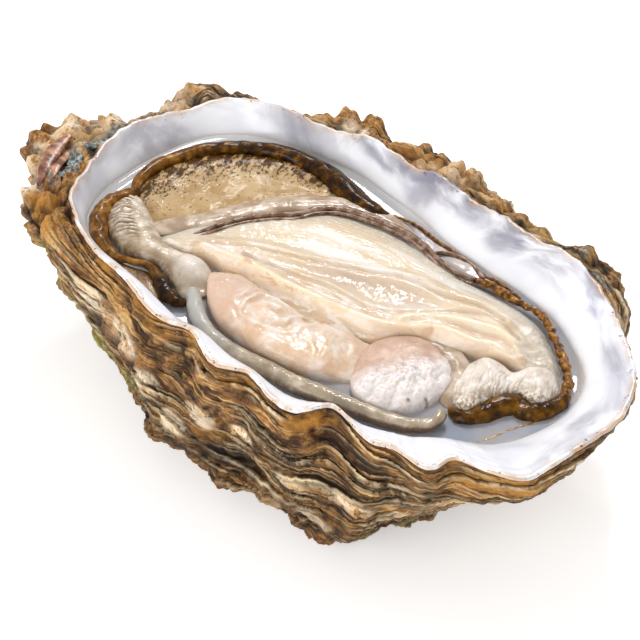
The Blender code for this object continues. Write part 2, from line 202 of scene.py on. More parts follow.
class Finish:
    """A node material with one Principled shader."""

    def __init__(self, name):
        self.material = bpy.data.materials.new(name)
        self.material.use_nodes = True
        self.nodes = self.material.node_tree.nodes
        self.links = self.material.node_tree.links
        self.shader = self.nodes["Principled BSDF"]
        self.place = self.nodes.new("ShaderNodeTexCoord").outputs["Object"]

    def feed(self, socket, value):
        """Links a socket to another one, or sets it to a plain value."""
        if isinstance(value, bpy.types.NodeSocket):
            self.links.new(value, socket)
        else:
            socket.default_value = value

    def set(self, **values):
        for label, value in values.items():
            self.feed(self.shader.inputs[label.replace("_", " ")], value)

    def mark(self, name):
        node = self.nodes.new("ShaderNodeAttribute")
        node.attribute_name = name
        return node.outputs["Fac"]

    def math(self, operation, a, b=0.0, c=0.0):
        node = self.nodes.new("ShaderNodeMath")
        node.operation = operation
        for socket, value in zip(node.inputs, (a, b, c)):
            self.feed(socket, value)
        return node.outputs[0]

    def between(self, value, low, high):
        """0 below low, 1 above high and smooth between."""
        node = self.nodes.new("ShaderNodeMapRange")
        node.interpolation_type = "SMOOTHSTEP"
        self.feed(node.inputs["Value"], value)
        node.inputs["From Min"].default_value = low
        node.inputs["From Max"].default_value = high
        return node.outputs["Result"]

    def mix(self, share, a, b, blend="MIX"):
        node = self.nodes.new("ShaderNodeMix")
        node.data_type = "RGBA"
        node.blend_type = blend
        self.feed(node.inputs[0], share)
        self.feed(node.inputs[6], a)
        self.feed(node.inputs[7], b)
        return node.outputs[2]

    def times(self, first, *others):
        """The product of sockets and numbers."""
        for other in others:
            first = self.math("MULTIPLY", first, other)
        return first

    def plus(self, first, *others):
        """The sum of sockets and numbers."""
        for other in others:
            first = self.math("ADD", first, other)
        return first

    def over(self, under, colour, *masks):
        """Lays a colour over another one, as strongly as the product of the masks."""
        return self.mix(self.times(*masks), under, colour)

    def scaled(self, size):
        """Coordinates measured in lumps of `size` mm, or of three sizes along X, Y and Z."""
        sizes = size if isinstance(size, tuple) else (size, size, size)
        node = self.nodes.new("ShaderNodeMapping")
        self.feed(node.inputs["Vector"], self.place)
        node.inputs["Scale"].default_value = [1 / (s * MM) for s in sizes]
        return node.outputs[0]

    def by_marks(self, first, length, second, width):
        """Coordinates that follow two marks, for streaks of that length and width in their units."""
        node = self.nodes.new("ShaderNodeCombineXYZ")
        self.feed(node.inputs[0], self.math("DIVIDE", self.mark(first), length))
        self.feed(node.inputs[1], self.math("DIVIDE", self.mark(second), width))
        return node.outputs[0]

    def noise(self, vector, detail=3.0, rough=0.55, twist=0.0):
        node = self.nodes.new("ShaderNodeTexNoise")
        self.feed(node.inputs["Vector"], vector)
        node.inputs["Scale"].default_value = 1.0
        node.inputs["Detail"].default_value = detail
        node.inputs["Roughness"].default_value = rough
        node.inputs["Distortion"].default_value = twist
        return node.outputs["Fac"]

    def broken(self, size, low, high, detail=3.0, rough=0.55):
        """A noise mask with lumps of `size` mm: 0 where the noise is below low, 1 above high."""
        return self.between(self.noise(self.scaled(size), detail, rough), low, high)

    def cells(self, vector):
        node = self.nodes.new("ShaderNodeTexVoronoi")
        self.feed(node.inputs["Vector"], vector)
        node.inputs["Scale"].default_value = 1.0
        return node.outputs["Distance"]

    def ramp(self, value, *stops):
        """A colour band; each stop is a place from 0 to 1 and a colour."""
        node = self.nodes.new("ShaderNodeValToRGB")
        band = node.color_ramp
        while len(band.elements) < len(stops):
            band.elements.new(0.5)
        for element, (at, colour) in zip(band.elements, stops):
            element.position = at
            element.color = colour
        self.feed(node.inputs[0], value)
        return node.outputs[0]

    def relief(self, height, depth):
        """Fine relief of `depth` mm from a height between 0 and 1."""
        node = self.nodes.new("ShaderNodeBump")
        node.inputs["Strength"].default_value = 1.0
        node.inputs["Distance"].default_value = depth * MM
        self.feed(node.inputs["Height"], height)
        return node.outputs[0]

    def wear(self, *pieces):
        """Puts the material on pieces."""
        for piece in pieces:
            piece.data.materials.append(self.material)
        print(f"{self.material.name}: {len(self.nodes)} nodes, on", ", ".join(piece.name for piece in pieces))


print("mid grey on a screen is", round(tint(128, 128, 128)[0], 3), "in linear light")


# %% [markdown]
# ## The cup's form
# An oyster lays down its shell in sheets. Each new sheet reaches a little further out at the lip,
# so the outside is a stack of thin ledges whose free edges point up towards the lip, and the
# scallops of the lip run on down the wall as folds. The rings below are the drawn lip, the mouth of
# the bowl, and how far the crust stands out beyond the lip at three heights.

# %% Lip, mouth and wall
LIP_Z = 35.5
SHOULDER_Z = 32.0
WAIST_Z = 16.0
HEEL_Z = 5.0
MOUTH_Z = 30.0
FLOOR_Z = 12.0
BOWL_BEND = 0.5
BILL_BEND = 1.1
BILL_BEARING = -12.0
SOLE_INSET = 8.0
LIP = [
    (61, -8), (59, 1), (53, 9), (46, 18), (38, 23), (29, 25), (23, 27), (14, 30), (1, 33), (-9, 36),
    (-20, 35), (-31, 36), (-40, 34), (-44, 28), (-48, 21), (-51, 14), (-51, 5), (-48, -6), (-45, -9),
    (-37, -15), (-29, -19), (-21, -23), (-12, -25), (-4, -30), (2, -29), (7, -31), (13, -33), (20, -30),
    (27, -33), (32, -33), (38, -35), (42, -31), (48, -31), (53, -30), (56, -25), (59, -17),
]
MOUTH = [
    (51, -7), (50, 1), (45, 7), (39, 12), (33, 15), (27, 17), (20, 19), (13, 22), (5, 26), (-3, 29),
    (-12, 32), (-23, 33), (-32, 32), (-39, 28), (-44, 20), (-47, 11), (-48, 3), (-46, -4), (-40, -10),
    (-31, -15), (-20, -19.5), (-10, -23), (4, -27), (15, -28.6), (24, -28.6), (33, -27), (42, -22),
    (48, -15),
]
# The next three are bearings in degrees and how far the wall stands outside the lip, in mm.
OVERHANG = [
    (0, -1), (8, 1), (20, 2.5), (34, 5.5), (41, 5.5), (48, 4), (59, 5), (67, 4), (79, 5.5), (88, 7.5),
    (95, 7), (105, 5), (113, 8.5), (123, 5), (135, 5), (140, 7), (146, 8.5), (151, 6), (156, 3),
    (161, 6), (166, 13), (172, 16.5), (178, 12), (184, 10), (190, 9), (197, 3.5), (207, 1.5),
    (225, 0.5), (250, 0.5), (275, 0.5), (300, 1), (325, 0), (340, -0.5), (350, -1.5),
]
WAIST = [
    (0, -13), (20, -8), (40, -3), (60, 0), (80, 1), (100, 2), (120, 2), (140, 3), (160, 6), (172, 8),
    (182, 3.5), (190, 1.5), (200, 1), (215, 1), (228, 3.5), (238, 3.5), (252, 0), (265, 0), (277, 1),
    (289, 3.5), (298, 4.5), (307, -2.5), (316, -8), (330, -14.5), (345, -20.5),
]
HEEL = [
    (0, -28), (20, -21), (40, -13), (60, -9), (90, -7), (120, -8), (145, -8), (165, -6), (185, -5),
    (205, -4), (225, 0.5), (240, 0), (265, -2), (280, -2), (295, -0.5), (305, -8), (316, -17),
    (330, -26), (346, -30),
]
lip_radius = outline(LIP)
mouth_radius = outline(MOUTH)
overhang = ring(OVERHANG)
waist = ring(WAIST)
heel = ring(HEEL)


def apart(bearing, middle):
    """How many degrees a bearing lies from a middle one."""
    return np.abs((np.asarray(bearing) - middle + 180) % 360 - 180)


def front_share(bearing):
    """1 along the low front, where the lip is a flat white shelf, and 0 elsewhere."""
    return 1 - smoothstep(apart(bearing, 262), 58.0, 76.0)


def lip_height(bearing):
    """The lip dips between its front scallops and lifts a little at the bill."""
    angle = np.radians(bearing)
    dip = 0.4 * front_share(bearing) + 1.3 * bump(apart(bearing, 279), 0, 11.0)
    return LIP_Z + 0.5 * np.sin(9 * angle + 0.6) + 0.4 * np.sin(14 * angle) - dip


def bowl(bearing, share):
    """Radius and height inside the bowl, from the floor (0) up to the mouth (1)."""
    towards_bill = np.cos(np.radians(bearing - BILL_BEARING))
    bend = BOWL_BEND + (BILL_BEND - BOWL_BEND) * smoothstep(towards_bill, 0.5, 0.9)
    turn = share * math.pi / 2
    radius = mouth_radius(bearing) * math.sin(turn) ** bend
    return radius, MOUTH_Z - (MOUTH_Z - FLOOR_Z) * math.cos(turn) ** bend


def wall(bearing, rows):
    """Radius and height down the outside at one bearing, from the lip to the sole."""
    lip = float(lip_radius(bearing))
    foot = lip + float(heel(bearing))
    rear = float(1 - smoothstep(apart(bearing, 75), 40.0, 60.0))
    knots = [
        (lip + 0.2, float(lip_height(bearing)) - 0.6),
        (lip + float(overhang(bearing)) + 0.9 * rear, SHOULDER_Z + 0.8 * rear),
        (lip + float(waist(bearing)), WAIST_Z),
        (foot, HEEL_Z),
        (foot - SOLE_INSET, 0.0),
    ]
    return curve(knots, rows + 1)


reaches = lip_radius(np.arange(360))
print("the lip lies", round(float(reaches.min())), "to", round(float(reaches.max())), "mm from the middle")


# %% [markdown]
# ## The crust
# The outside is worked out point by point. The distance down the wall, bent by slow waves, is the
# growth of the shell, and it counts the sheets. Thick sheets, thin ones and thinner ones lie over
# each other, each with its own pitch. A sheet steps out at its free edge, over a dark groove, and
# sinks away below. Its strength changes along the edge, where it has chipped. Low down and at the
# hinge the sheets break up into rounded crags. All of this is real relief in the mesh, because it
# shows in the outline; only grain finer than half a millimetre is left to the material.

# %% Crust base
SPOKES = 800
WALL_ROWS = 240
FOLD_GAIN = -0.62
CRINKLE = 0.32

bearings = np.arange(SPOKES) * 360.0 / SPOKES
edge_walk = place(lip_radius(bearings), bearings, 0.0) / MM
crinkle = CRINKLE * (roughen(edge_walk, 2.6) + 0.7 * roughen(edge_walk + 9.0, 1.2))
lip = lip_radius(bearings) + crinkle
mouth = mouth_radius(bearings)
top = lip_height(bearings) + 0.6 * crinkle
walls = np.array([wall(bearing, WALL_ROWS) for bearing in bearings]).transpose(1, 0, 2)
down = np.gradient(walls, axis=0)
down /= np.linalg.norm(down, axis=2, keepdims=True)
step = np.linalg.norm(np.diff(walls, axis=0), axis=2)
depth = np.concatenate([np.zeros((1, SPOKES)), np.cumsum(step, axis=0)])
across = np.broadcast_to(bearings, depth.shape)
walls[:, :, 0] += crinkle * np.exp(-depth / 2.5)
walls[:, :, 1] += 0.6 * crinkle * np.exp(-depth / 2.5)
height = walls[:, :, 1]
base = place(walls[:, :, 0], across, height) / MM
girth = np.concatenate([[0.0], np.cumsum(np.linalg.norm(np.diff(base[30], axis=0), axis=1))])
along = np.broadcast_to(girth, depth.shape)
print("wall depth from", round(depth[-1].min(), 1), "to", round(depth[-1].max(), 1), "mm, girth",
      round(girth[-1], 1))

# %% Growth sheets
# Each kind of sheet has a pitch and a thickness in mm, and a seed.
SHEETS = [(3.4, 1.05, 2.0), (1.45, 0.50, 7.0), (0.75, 0.16, 13.0)]


def rows_noise(x, y, seed):
    """Smooth random values over two numbers that follow the sheets."""
    return roughen(np.stack([x, y, np.full(x.shape, seed)], axis=-1), 1.0)


def sheets(pitch, seed):
    """Where each point lies in its sheet, 0 at the free edge; how strong that edge is; its tone."""
    bent = growth / pitch + 0.45 * rows_noise(along / 30.0, growth / (1.9 * pitch), seed)
    index = np.floor(bent)
    strength = np.clip(0.62 + 0.95 * rows_noise(along / (3.2 * pitch), index * 5.3, seed), 0.04, 1.4)
    chips = 1 + 0.45 * rows_noise(along / (0.55 * pitch), index * 3.1, seed + 1.0)
    tone = rows_noise(along / (7.0 * pitch), index * 7.7, seed + 2.0)
    return bent - index, strength * chips, tone


slow = roughen(base, 26.0)
middling = roughen(base + 3.0, 11.0)
small = roughen(base + 17.0, 3.6)
growth = depth + 2.4 * slow + 1.1 * middling + 0.22 * small
growth = growth + 0.95 * np.sin(2 * math.pi * growth / 8.5 + 2.8 * roughen(base + 31.0, 30.0))
craggy = smoothstep(overhang(bearings), 2.0, 8.0)
worn = smoothstep(roughen(base + 7.0, 13.0) + 0.15 * small, 0.10, 0.38)
layered = (1 - 0.8 * worn) * (1 - 0.88 * craggy) * (1 - 0.35 * smoothstep(depth, 24.0, 36.0))
tones = 0.0
relief = 0.0
lift = 0.0
crest = 0.0
hollow = 0.0
for pitch, stand, seed in SHEETS:
    within, strength, tone = sheets(pitch, seed)
    tones = tones + tone * stand
    strength = strength * layered
    relief = relief + stand * strength * ((1 - within) ** 1.25 - 0.45 - 0.35 * bump(within, 0.93, 0.07))
    lift = lift + 0.75 * stand * strength * np.exp(-((within / 0.12) ** 2))
    crest = np.maximum(crest, stand * strength * np.exp(-((within / 0.11) ** 2)))
    hollow = np.maximum(hollow, stand * strength * bump(within, 0.92, 0.10))
print("sheets down the wall:", int(growth.max() / SHEETS[0][0]), "thick and",
      int(growth.max() / SHEETS[1][0]), "thin")

# %% Crags, knobs and folds
CRAG_SIZE = 8.0
KNOB_SIZE = 4.6
GRAIN_SIZE = 2.3


def cells(point):
    return noise.noise(point, noise_basis="VORONOI_F1")


def knobs(size, shift):
    """Rounded knobs with creases between them, from 0 to 1."""
    spacing = 0.5 + 0.5 * roughen(base + shift, size, cells)
    return np.clip(1 - (spacing / 0.62) ** 2, 0.0, 1.0)


crags = roughen(base, CRAG_SIZE)
big_knobs = knobs(KNOB_SIZE, 1.0 + 0.8 * middling[..., None])
small_knobs = knobs(GRAIN_SIZE, 5.0 + 0.5 * small[..., None])
rough_share = np.clip(0.26 + 0.9 * np.maximum(craggy, smoothstep(depth, 17.0, 32.0)) + 0.35 * worn, 0, 1)
relief = relief + 1.3 * crags * (0.5 + 0.7 * rough_share)
knob_height = (1.6 + 0.9 * craggy) * (big_knobs - 0.4) + (0.55 + 0.35 * craggy) * (small_knobs - 0.45)
relief = relief + knob_height * rough_share
relief = relief + (0.24 * roughen(base + 23.0, 0.9) + 0.22 * roughen(base + 27.0, 1.7)) * (0.35 + rough_share)
creases = 1 - smoothstep(small_knobs + 0.8 * big_knobs, 0.15, 0.7)
# Painted shade: the creases between knobs also join the dark groove mask.
hollow = np.clip(hollow + 0.55 * rough_share * creases, 0, 1)
slow_lip = np.convolve(np.tile(lip, 3), np.hanning(95) / np.hanning(95).sum(), "same")[SPOKES:2 * SPOKES]
relief = relief + FOLD_GAIN * (lip - slow_lip) * smoothstep(depth, 1.0, 14.0)
fade = smoothstep(height, 0.0, 4.0) * smoothstep(depth, 0.0, 1.3)
relief = relief * fade
lift = lift * fade
radius = walls[:, :, 0] - relief * down[:, :, 1] - lift * down[:, :, 0]
level = np.maximum(height + relief * down[:, :, 0] - lift * down[:, :, 1], 0.0)
crust_rows = place(radius, across, level)
print("relief from", round(relief.min(), 2), "to", round(relief.max(), 2), "mm")

# %% [markdown]
# ## Where the crust changes colour
# Colour follows growth and wear. Free edges are painted pale, as painted highlights where they catch
# the light from above, the grooves between sheets are painted dark as painted shade, worn patches show
# cream and pink chalk, and olive film grows low down where the shell stayed wet. The patches that the
# photo shows are placed by bearing and by distance down the wall, and slow noise adds like patches on
# the sides that it doesn't show.

# %% Patches on the wall
# Each patch is a bearing, a distance down the wall in mm, a width in degrees and a height in mm.
CREAM_PATCHES = [
    (204, 9, 6, 3.2), (215, 11, 6, 3.8), (226, 15, 6, 3.6), (236, 20, 6, 3.0), (248, 14.5, 7, 2.8),
    (262, 14, 6, 1.8), (282, 16, 7, 1.4), (298, 15, 7, 1.7), (308, 18, 5, 1.5), (288, 22, 6, 1.5),
    (272, 26, 6, 2.2), (320, 13, 6, 1.6), (183, 10, 6, 4.0), (177, 9.5, 5, 3.0), (170, 9, 4, 3.0),
    (163, 5, 5, 3.0), (114, 3, 6, 3.0),
]
DARK_PATCHES = [
    (238, 9, 5, 2.8), (302, 4.5, 7, 1.8), (226, 7, 4, 1.8), (258, 20, 9, 2.6), (330, 9, 9, 2.0),
    (282, 9.5, 10, 2.2), (296, 12, 9, 1.6), (310, 24, 7, 2.2), (214, 17, 6, 2.6), (143, 3, 8, 4.5),
    (54, 2, 5, 2.5), (36, 3, 5, 2.5),
]
ALGAE_PATCHES = [
    (190, 17, 6, 6.0), (198, 23, 8, 7.0), (206, 27, 7, 4.0), (305, 27, 7, 4.0), (314, 26, 6, 4.0),
    (330, 26, 7, 3.5), (60, 30, 14, 6.0), (120, 26, 9, 6.0),
]
SLATE_PATCHES = [
    (178, 2.0, 4, 2.2), (171, 1.8, 4, 2.0), (165, 1.4, 4, 1.4), (179, 5.0, 4, 2.2), (174, 4.6, 3, 2.0),
    (40, 2.0, 5, 1.6), (28, 1.6, 4, 1.4),
]
OCHRE_PATCHES = [
    (230, 1.6, 24, 2.2), (262, 1.8, 14, 2.2), (285, 2.2, 10, 2.0), (325, 3.0, 12, 3.2),
    (205, 2.0, 10, 3.4), (95, 4, 22, 3.4), (45, 4, 14, 3.4), (188, 5, 8, 5.0), (168, 15, 6, 5.0),
    (145, 5, 6, 4.0), (248, 17, 8, 3.0),
]


def patches(spots):
    """How strongly each point of the wall lies in one of the patches."""
    most = np.zeros_like(depth)
    for bearing, deep, width, tall in spots:
        turn = (across - bearing + 180) % 360 - 180
        most = np.maximum(most, np.exp(-((turn / width) ** 2) - ((depth - deep) / tall) ** 2))
    return smoothstep(most + 0.30 * middling + 0.25 * small, 0.3, 0.7)


away = smoothstep(apart(across, 265), 70.0, 110.0)
chalk = patches(CREAM_PATCHES) * (1 - 0.6 * smoothstep(depth, 12.0, 26.0))
chalk = np.maximum(chalk, 0.6 * worn * away)
print("chalk lies on", round(100 * float((chalk > 0.5).mean())), "% of the wall")

# %% [markdown]
# ## The crust as one cup
# The skin starts under the pearly lining, comes up inside the lip, turns over it and goes down the
# wall to the flat sole. Its inner side is never seen, so it needs few rows. It is made as two skins,
# one above the other, so that neither mesh grows too heavy for a shared library.

# %% Crust marks
marks = {
    "along": along, "strata": growth, "chalk": chalk, "rough": rough_share, "tone": tones,
    "crest": np.clip(1.3 * crest, 0, 1) * fade * (1 - 0.45 * smoothstep(depth, 14.0, 27.0)),
    "hollow": hollow * fade, "knob": np.clip(0.6 * big_knobs + 0.6 * small_knobs, 0, 1),
    "algae": patches(ALGAE_PATCHES), "dark": patches(DARK_PATCHES), "ochre": patches(OCHRE_PATCHES),
    "slate": patches(SLATE_PATCHES), "sole_shade": smoothstep(depth, 7.0, 25.0),
}
print("the crust carries", len(marks), "marks")

# %% Crust mesh
LINING = 0.8
SEAM_ROW = 118


def slope_point(share):
    """Radius and height on the slope from the mouth (0) to the lip (1)."""
    radius = mouth + (lip - 0.6 - mouth) * share
    return radius, MOUTH_Z + (top - MOUTH_Z) * share ** (0.8 - 0.6 * front_share(bearings))


inner = []
for share in (0.3, 0.7, 1.0):
    radius, level = bowl(bearings, share)
    inner.append(place(radius + LINING, bearings, level - LINING))
for share in (0.5, 0.95):
    radius, level = slope_point(share)
    inner.append(place(radius, bearings, level - LINING))
inner = np.array(inner)


def with_inner(values):
    """The marks of the upper wall, repeated from the lip on the hidden inner rows."""
    return np.concatenate([np.repeat(values[:1], len(inner), axis=0), values[:SEAM_ROW + 1]])


upper = skin("shell_crust", np.concatenate([inner, crust_rows[:SEAM_ROW + 1]]),
             {label: with_inner(values) for label, values in marks.items()},
             hubs=(place(0.0, 0.0, FLOOR_Z - LINING), place(0.0, 0.0, 3.0)), slot="shell",
             stands_for=["shell"])
lower = skin("shell_base", crust_rows[SEAM_ROW - 1:],
             {label: values[SEAM_ROW - 1:] for label, values in marks.items()},
             hubs=(place(0.0, 0.0, 5.0), place(0.0, 0.0, 0.0)), slot="shell")

# %% [markdown]
# ## Crust material
# Long streaks of umber, brown and tan follow the sheets, because each sheet had its own season.
# Finer lines run inside them. The whole wall is multiplied warmer, and deeper and browner towards the
# sole, as painted shade. The marks then lay chalk, grey scale, algae, dark patches and pale edges on
# top, the pale edges as painted highlights, each broken up by noise of its own size, and small dark
# pits and brown freckles dot the chalk. Dark creases between the knobs and dark grooves between the
# sheets are painted shade. A real shell is dull with a slight damp sheen, so the coat is thin.

# %% Crust streaks and knobs
UMBER = tint(38, 23, 10)
BARK = tint(82, 53, 28)
OLIVE_BROWN = tint(120, 86, 48)
TAN = tint(186, 138, 86)
CREAM = tint(246, 222, 180)
OCHRE = tint(190, 138, 62)
RUST = tint(122, 76, 24)

look = Finish("crust")
streaks = look.noise(look.by_marks("along", 12.0, "strata", 1.25), detail=5.0, rough=0.65, twist=0.4)
lines = look.noise(look.by_marks("along", 6.0, "strata", 0.26), detail=3.0, rough=0.65)
lumps = look.noise(look.scaled(6.0), detail=5.0, rough=0.62)
grain = look.noise(look.scaled(0.8), detail=4.0, rough=0.7)
blend = look.plus(look.times(streaks, 0.53), look.times(lines, 0.31), look.times(lumps, 0.16),
                  look.times(look.mark("tone"), 0.09))
colour = look.ramp(blend, (0.42, UMBER), (0.475, BARK), (0.515, OLIVE_BROWN), (0.55, TAN), (0.60, CREAM))
knobby = look.ramp(grain, (0.32, tint(92, 58, 28)), (0.46, tint(160, 112, 64)), (0.60, tint(222, 184, 138)))
colour = look.over(colour, knobby, look.mark("rough"), look.between(look.mark("knob"), 0.15, 0.6), 0.75)
# Painted shade: the creases between the knobs are painted dark brown.
knob_crease_shade = look.between(look.mark("knob"), 0.14, 0.02)
colour = look.over(colour, tint(50, 32, 16), look.mark("rough"), knob_crease_shade, look.broken(2.0, 0.42, 0.56, 4.0), 0.8)
warm = look.ramp(lumps, (0.34, RUST), (0.5, OCHRE), (0.66, tint(208, 170, 108)))
colour = look.over(colour, warm, look.mark("ochre"), look.broken(3.0, 0.32, 0.54, 4.0), 0.85)
# Painted shade: the wall is multiplied warmer everywhere, and darker and browner towards the sole.
shade = look.mix(look.mark("sole_shade"), (0.86, 0.75, 0.52, 1.0), (0.47, 0.37, 0.20, 1.0))
colour = look.mix(1.0, colour, shade, blend="MULTIPLY")
print("crust streaks use", len(look.nodes), "nodes")

# %% Chalk, scale, algae and dark patches
CHALK = tint(240, 222, 194)
PINK_CHALK = tint(220, 182, 134)
ALGAE = tint(158, 146, 56)

pale = look.mix(look.between(lumps, 0.42, 0.6), CHALK, PINK_CHALK)
pale = look.over(pale, tint(158, 108, 52), look.broken(1.3, 0.53, 0.63, 4.0, 0.65), 0.85)
colour = look.over(colour, pale, look.mark("chalk"), look.broken(3.2, 0.31, 0.45, 5.0, 0.65))
scale = look.ramp(grain, (0.34, tint(46, 48, 46)), (0.5, tint(100, 108, 108)), (0.64, tint(182, 190, 188)))
colour = look.over(colour, scale, look.mark("slate"), look.broken(1.6, 0.36, 0.5), 0.85)
film = look.mix(look.between(grain, 0.4, 0.65), ALGAE, tint(86, 84, 34))
colour = look.over(colour, film, look.mark("algae"), look.broken(3.5, 0.34, 0.50, 4.0), 0.95)
dark_streak_mask = look.between(look.noise(look.by_marks("along", 5.0, "strata", 0.9), 4.0), 0.38, 0.55)
colour = look.over(colour, tint(36, 26, 15), look.mark("dark"), dark_streak_mask, 0.9)
print("with chalk, scale, algae and dark_smudges,", len(look.nodes), "nodes")

# %% Pale edges and grooves, painted as highlight and shade, and pits
# Painted highlight: the free edges of the sheets are painted pale where they catch the light from above.
colour = look.over(colour, tint(246, 222, 180), look.mark("crest"), look.broken(2.2, 0.30, 0.50), 0.85)
# Painted shade: the grooves above the free edges and the creases between knobs are painted near black.
colour = look.over(colour, tint(28, 17, 8), look.mark("hollow"), 0.95)
pits = look.between(look.cells(look.scaled(1.1)), 0.24, 0.12)
colour = look.over(colour, tint(70, 44, 24), pits, look.between(lumps, 0.50, 0.6))
rough = look.relief(look.plus(look.times(lines, 0.8), look.times(grain, 0.6)), 0.34)
look.set(Base_Color=colour, Roughness=0.55, Normal=rough, Specular_IOR_Level=0.15, Coat_Weight=0.05,
         Coat_Roughness=0.3)
look.wear(upper, lower)

# %% [markdown]
# ## The pearly lining
# Inside, the shell is coated with a millimetre of smooth nacre. On the slope between bowl and lip it
# is white, with lavender-grey clouds and bruises towards the outer edge and a thin stained border.
# The clouds are partly the nacre's own lavender and partly painted shade where the slope curves
# away, strongest at the rear.
# It is its own skin, a little thinner than a coin, lying on the crust. A soft clear coat gives the
# wet gloss. The bruises are named spots, because the eye finds them again in the photo.

# %% Lining profile
BOWL_ROWS = 12
SLOPE_ROWS = 34
NACRE = 1.2
ROLLED_EDGE = ((-0.28, -0.02), (-0.02, -0.16), (0.12, -0.42), (0.02, -0.75))

profile = []
for share in np.linspace(0.06, 1.0, BOWL_ROWS):
    profile.append((*bowl(bearings, share), 0.0))
for share in np.linspace(0.0, 1.0, SLOPE_ROWS + 1)[1:]:
    profile.append((*slope_point(share), share))
for out, drop in ROLLED_EDGE:
    profile.append((lip + out, top + drop, 1.0))
for share in (0.8, 0.45, 0.1):
    radius, level = slope_point(share)
    profile.append((radius, level - NACRE, 0.9))
for share in (0.9, 0.7, 0.4):
    radius, level = bowl(bearings, share)
    profile.append((radius, level - NACRE, 0.0))
radius = np.array([row[0] for row in profile])
level = np.array([row[1] for row in profile])
share = np.broadcast_to(np.array([row[2] for row in profile])[:, None], radius.shape)
turned = np.broadcast_to(bearings, radius.shape)
print("the lining has", len(profile), "rows, in and out")

# %% Lining waves, bruises and mesh
# Each bruise is a bearing, a distance inside the lip in mm, a width in degrees and a height in mm.
BRUISES = [
    (160, 3, 9, 2.0), (132, 2.5, 8, 1.6), (108, 2, 8, 1.8), (90, 3.5, 7, 2.0), (67, 2, 7, 2.2),
    (48, 4, 7, 2.2), (34, 2.5, 6, 2.4), (3, 3, 5, 2.4), (346, 5, 5, 2.0),
]
points = place(radius, turned, level)
swell = roughen(points, 12 * MM) + 0.4 * roughen(points + 1.0, 5 * MM)
ripple = np.cos((lip - radius) * 2 * math.pi / 1.9 + 3 * swell)
upper_side = np.arange(len(profile)) < BOWL_ROWS + SLOPE_ROWS + len(ROLLED_EDGE)
shown = smoothstep(share, 0.02, 0.25) * upper_side[:, None]
level = level + shown * (0.28 * swell + 0.035 * ripple * smoothstep(share, 0.3, 0.8))
bruise = np.zeros_like(radius)
for bearing, inside, width, tall in BRUISES:
    spot = np.exp(-((apart(turned, bearing) / width) ** 2) - ((lip - radius - inside) / tall) ** 2)
    bruise = np.maximum(bruise, spot)
lining_marks = {
    "slope": share, "out": lip - radius, "along": np.interp(turned, bearings, girth),
    "bruise": smoothstep(bruise + 0.25 * swell, 0.1, 0.8), "front": front_share(turned),
    "rear": 1 - smoothstep(apart(turned, 62), 35.0, 75.0),
}
lining = skin("nacre_lining", place(radius, turned, level), lining_marks,
              hubs=(place(0.0, 0.0, FLOOR_Z), place(0.0, 0.0, FLOOR_Z - NACRE)), slot="shell")

# %% Lining finish
look = Finish("nacre")
drift = look.by_marks("along", 13.0, "out", 4.5)
# Lavender-grey clouds: partly the nacre's own lavender, partly painted shade towards the outer edge,
# strongest at the rear.
lavender_and_shade = look.between(look.noise(drift, detail=3.0, rough=0.5, twist=0.7), 0.42, 0.64)
amount = look.plus(0.48, look.times(look.mark("rear"), 0.52))
calm = look.math("SUBTRACT", 1.0, look.times(look.mark("front"), 0.9))
lavender_and_shade = look.times(look.between(look.mark("slope"), 0.25, 0.85), lavender_and_shade, amount, calm)
colour = look.mix(lavender_and_shade, tint(242, 241, 245), tint(138, 135, 150))
colour = look.over(colour, tint(214, 216, 232), look.broken(14.0, 0.5, 0.62, 2.0), 0.35)
broken_bruise = look.between(look.noise(drift, 5.0, 0.6), 0.32, 0.58)
colour = look.over(colour, tint(140, 137, 150), look.mark("bruise"), broken_bruise, 0.6)
border = look.between(look.mark("out"), 1.7, -0.1)
colour = look.over(colour, tint(206, 168, 126), border, look.broken(4.0, 0.38, 0.58, 5.0), 0.8)
specks = look.between(look.mark("out"), 1.6, 0.3)
colour = look.over(colour, tint(70, 42, 24), specks, look.broken(0.8, 0.62, 0.68))
colour = look.over(colour, tint(236, 226, 214), look.between(look.mark("slope"), 0.10, 0.0), 0.5)
look.set(Base_Color=colour, Roughness=0.28, Normal=look.relief(look.noise(look.scaled(2.5), 3.0), 0.06),
         Coat_Weight=0.6, Coat_Roughness=0.24, Subsurface_Weight=0.25,
         Subsurface_Radius=(1.0, 0.95, 0.9), Subsurface_Scale=1.2 * MM)
look.wear(lining)

# %% [markdown]
# ## Two ways to make soft parts
# Raw oyster meat is all folds and frills. Broad parts are cushions: a skin between two drawn side
# curves, whose crown can carry ridges and creases that follow lines of their own. Rims and rolls are
# tubes: a round section swept along a line, with its own radius at each point. Both are lofts, so
# they use the same skin function. Sculpting by hand could look as good but can't be edited later.

# %% Distances and grains
def near(x, y, points, count=260):
    """Distance in mm to a drawn line, and how far along it the nearest spot lies, from 0 to 1."""
    line = curve(points, count)
    shape = np.shape(x)
    x, y = np.ravel(x), np.ravel(y)
    gap = np.full(len(x), 1e9)
    spot = np.zeros(len(x), dtype=int)
    for i, (a, b) in enumerate(line):
        square = (x - a) ** 2 + (y - b) ** 2
        closer = square < gap
        gap[closer] = square[closer]
        spot[closer] = i
    return np.sqrt(gap).reshape(shape), (spot / (count - 1)).reshape(shape)


def on_flat(x, y):
    """Points of the flat plane, for noise that doesn't follow the height."""
    return np.stack([x, y, 0 * x], axis=-1)


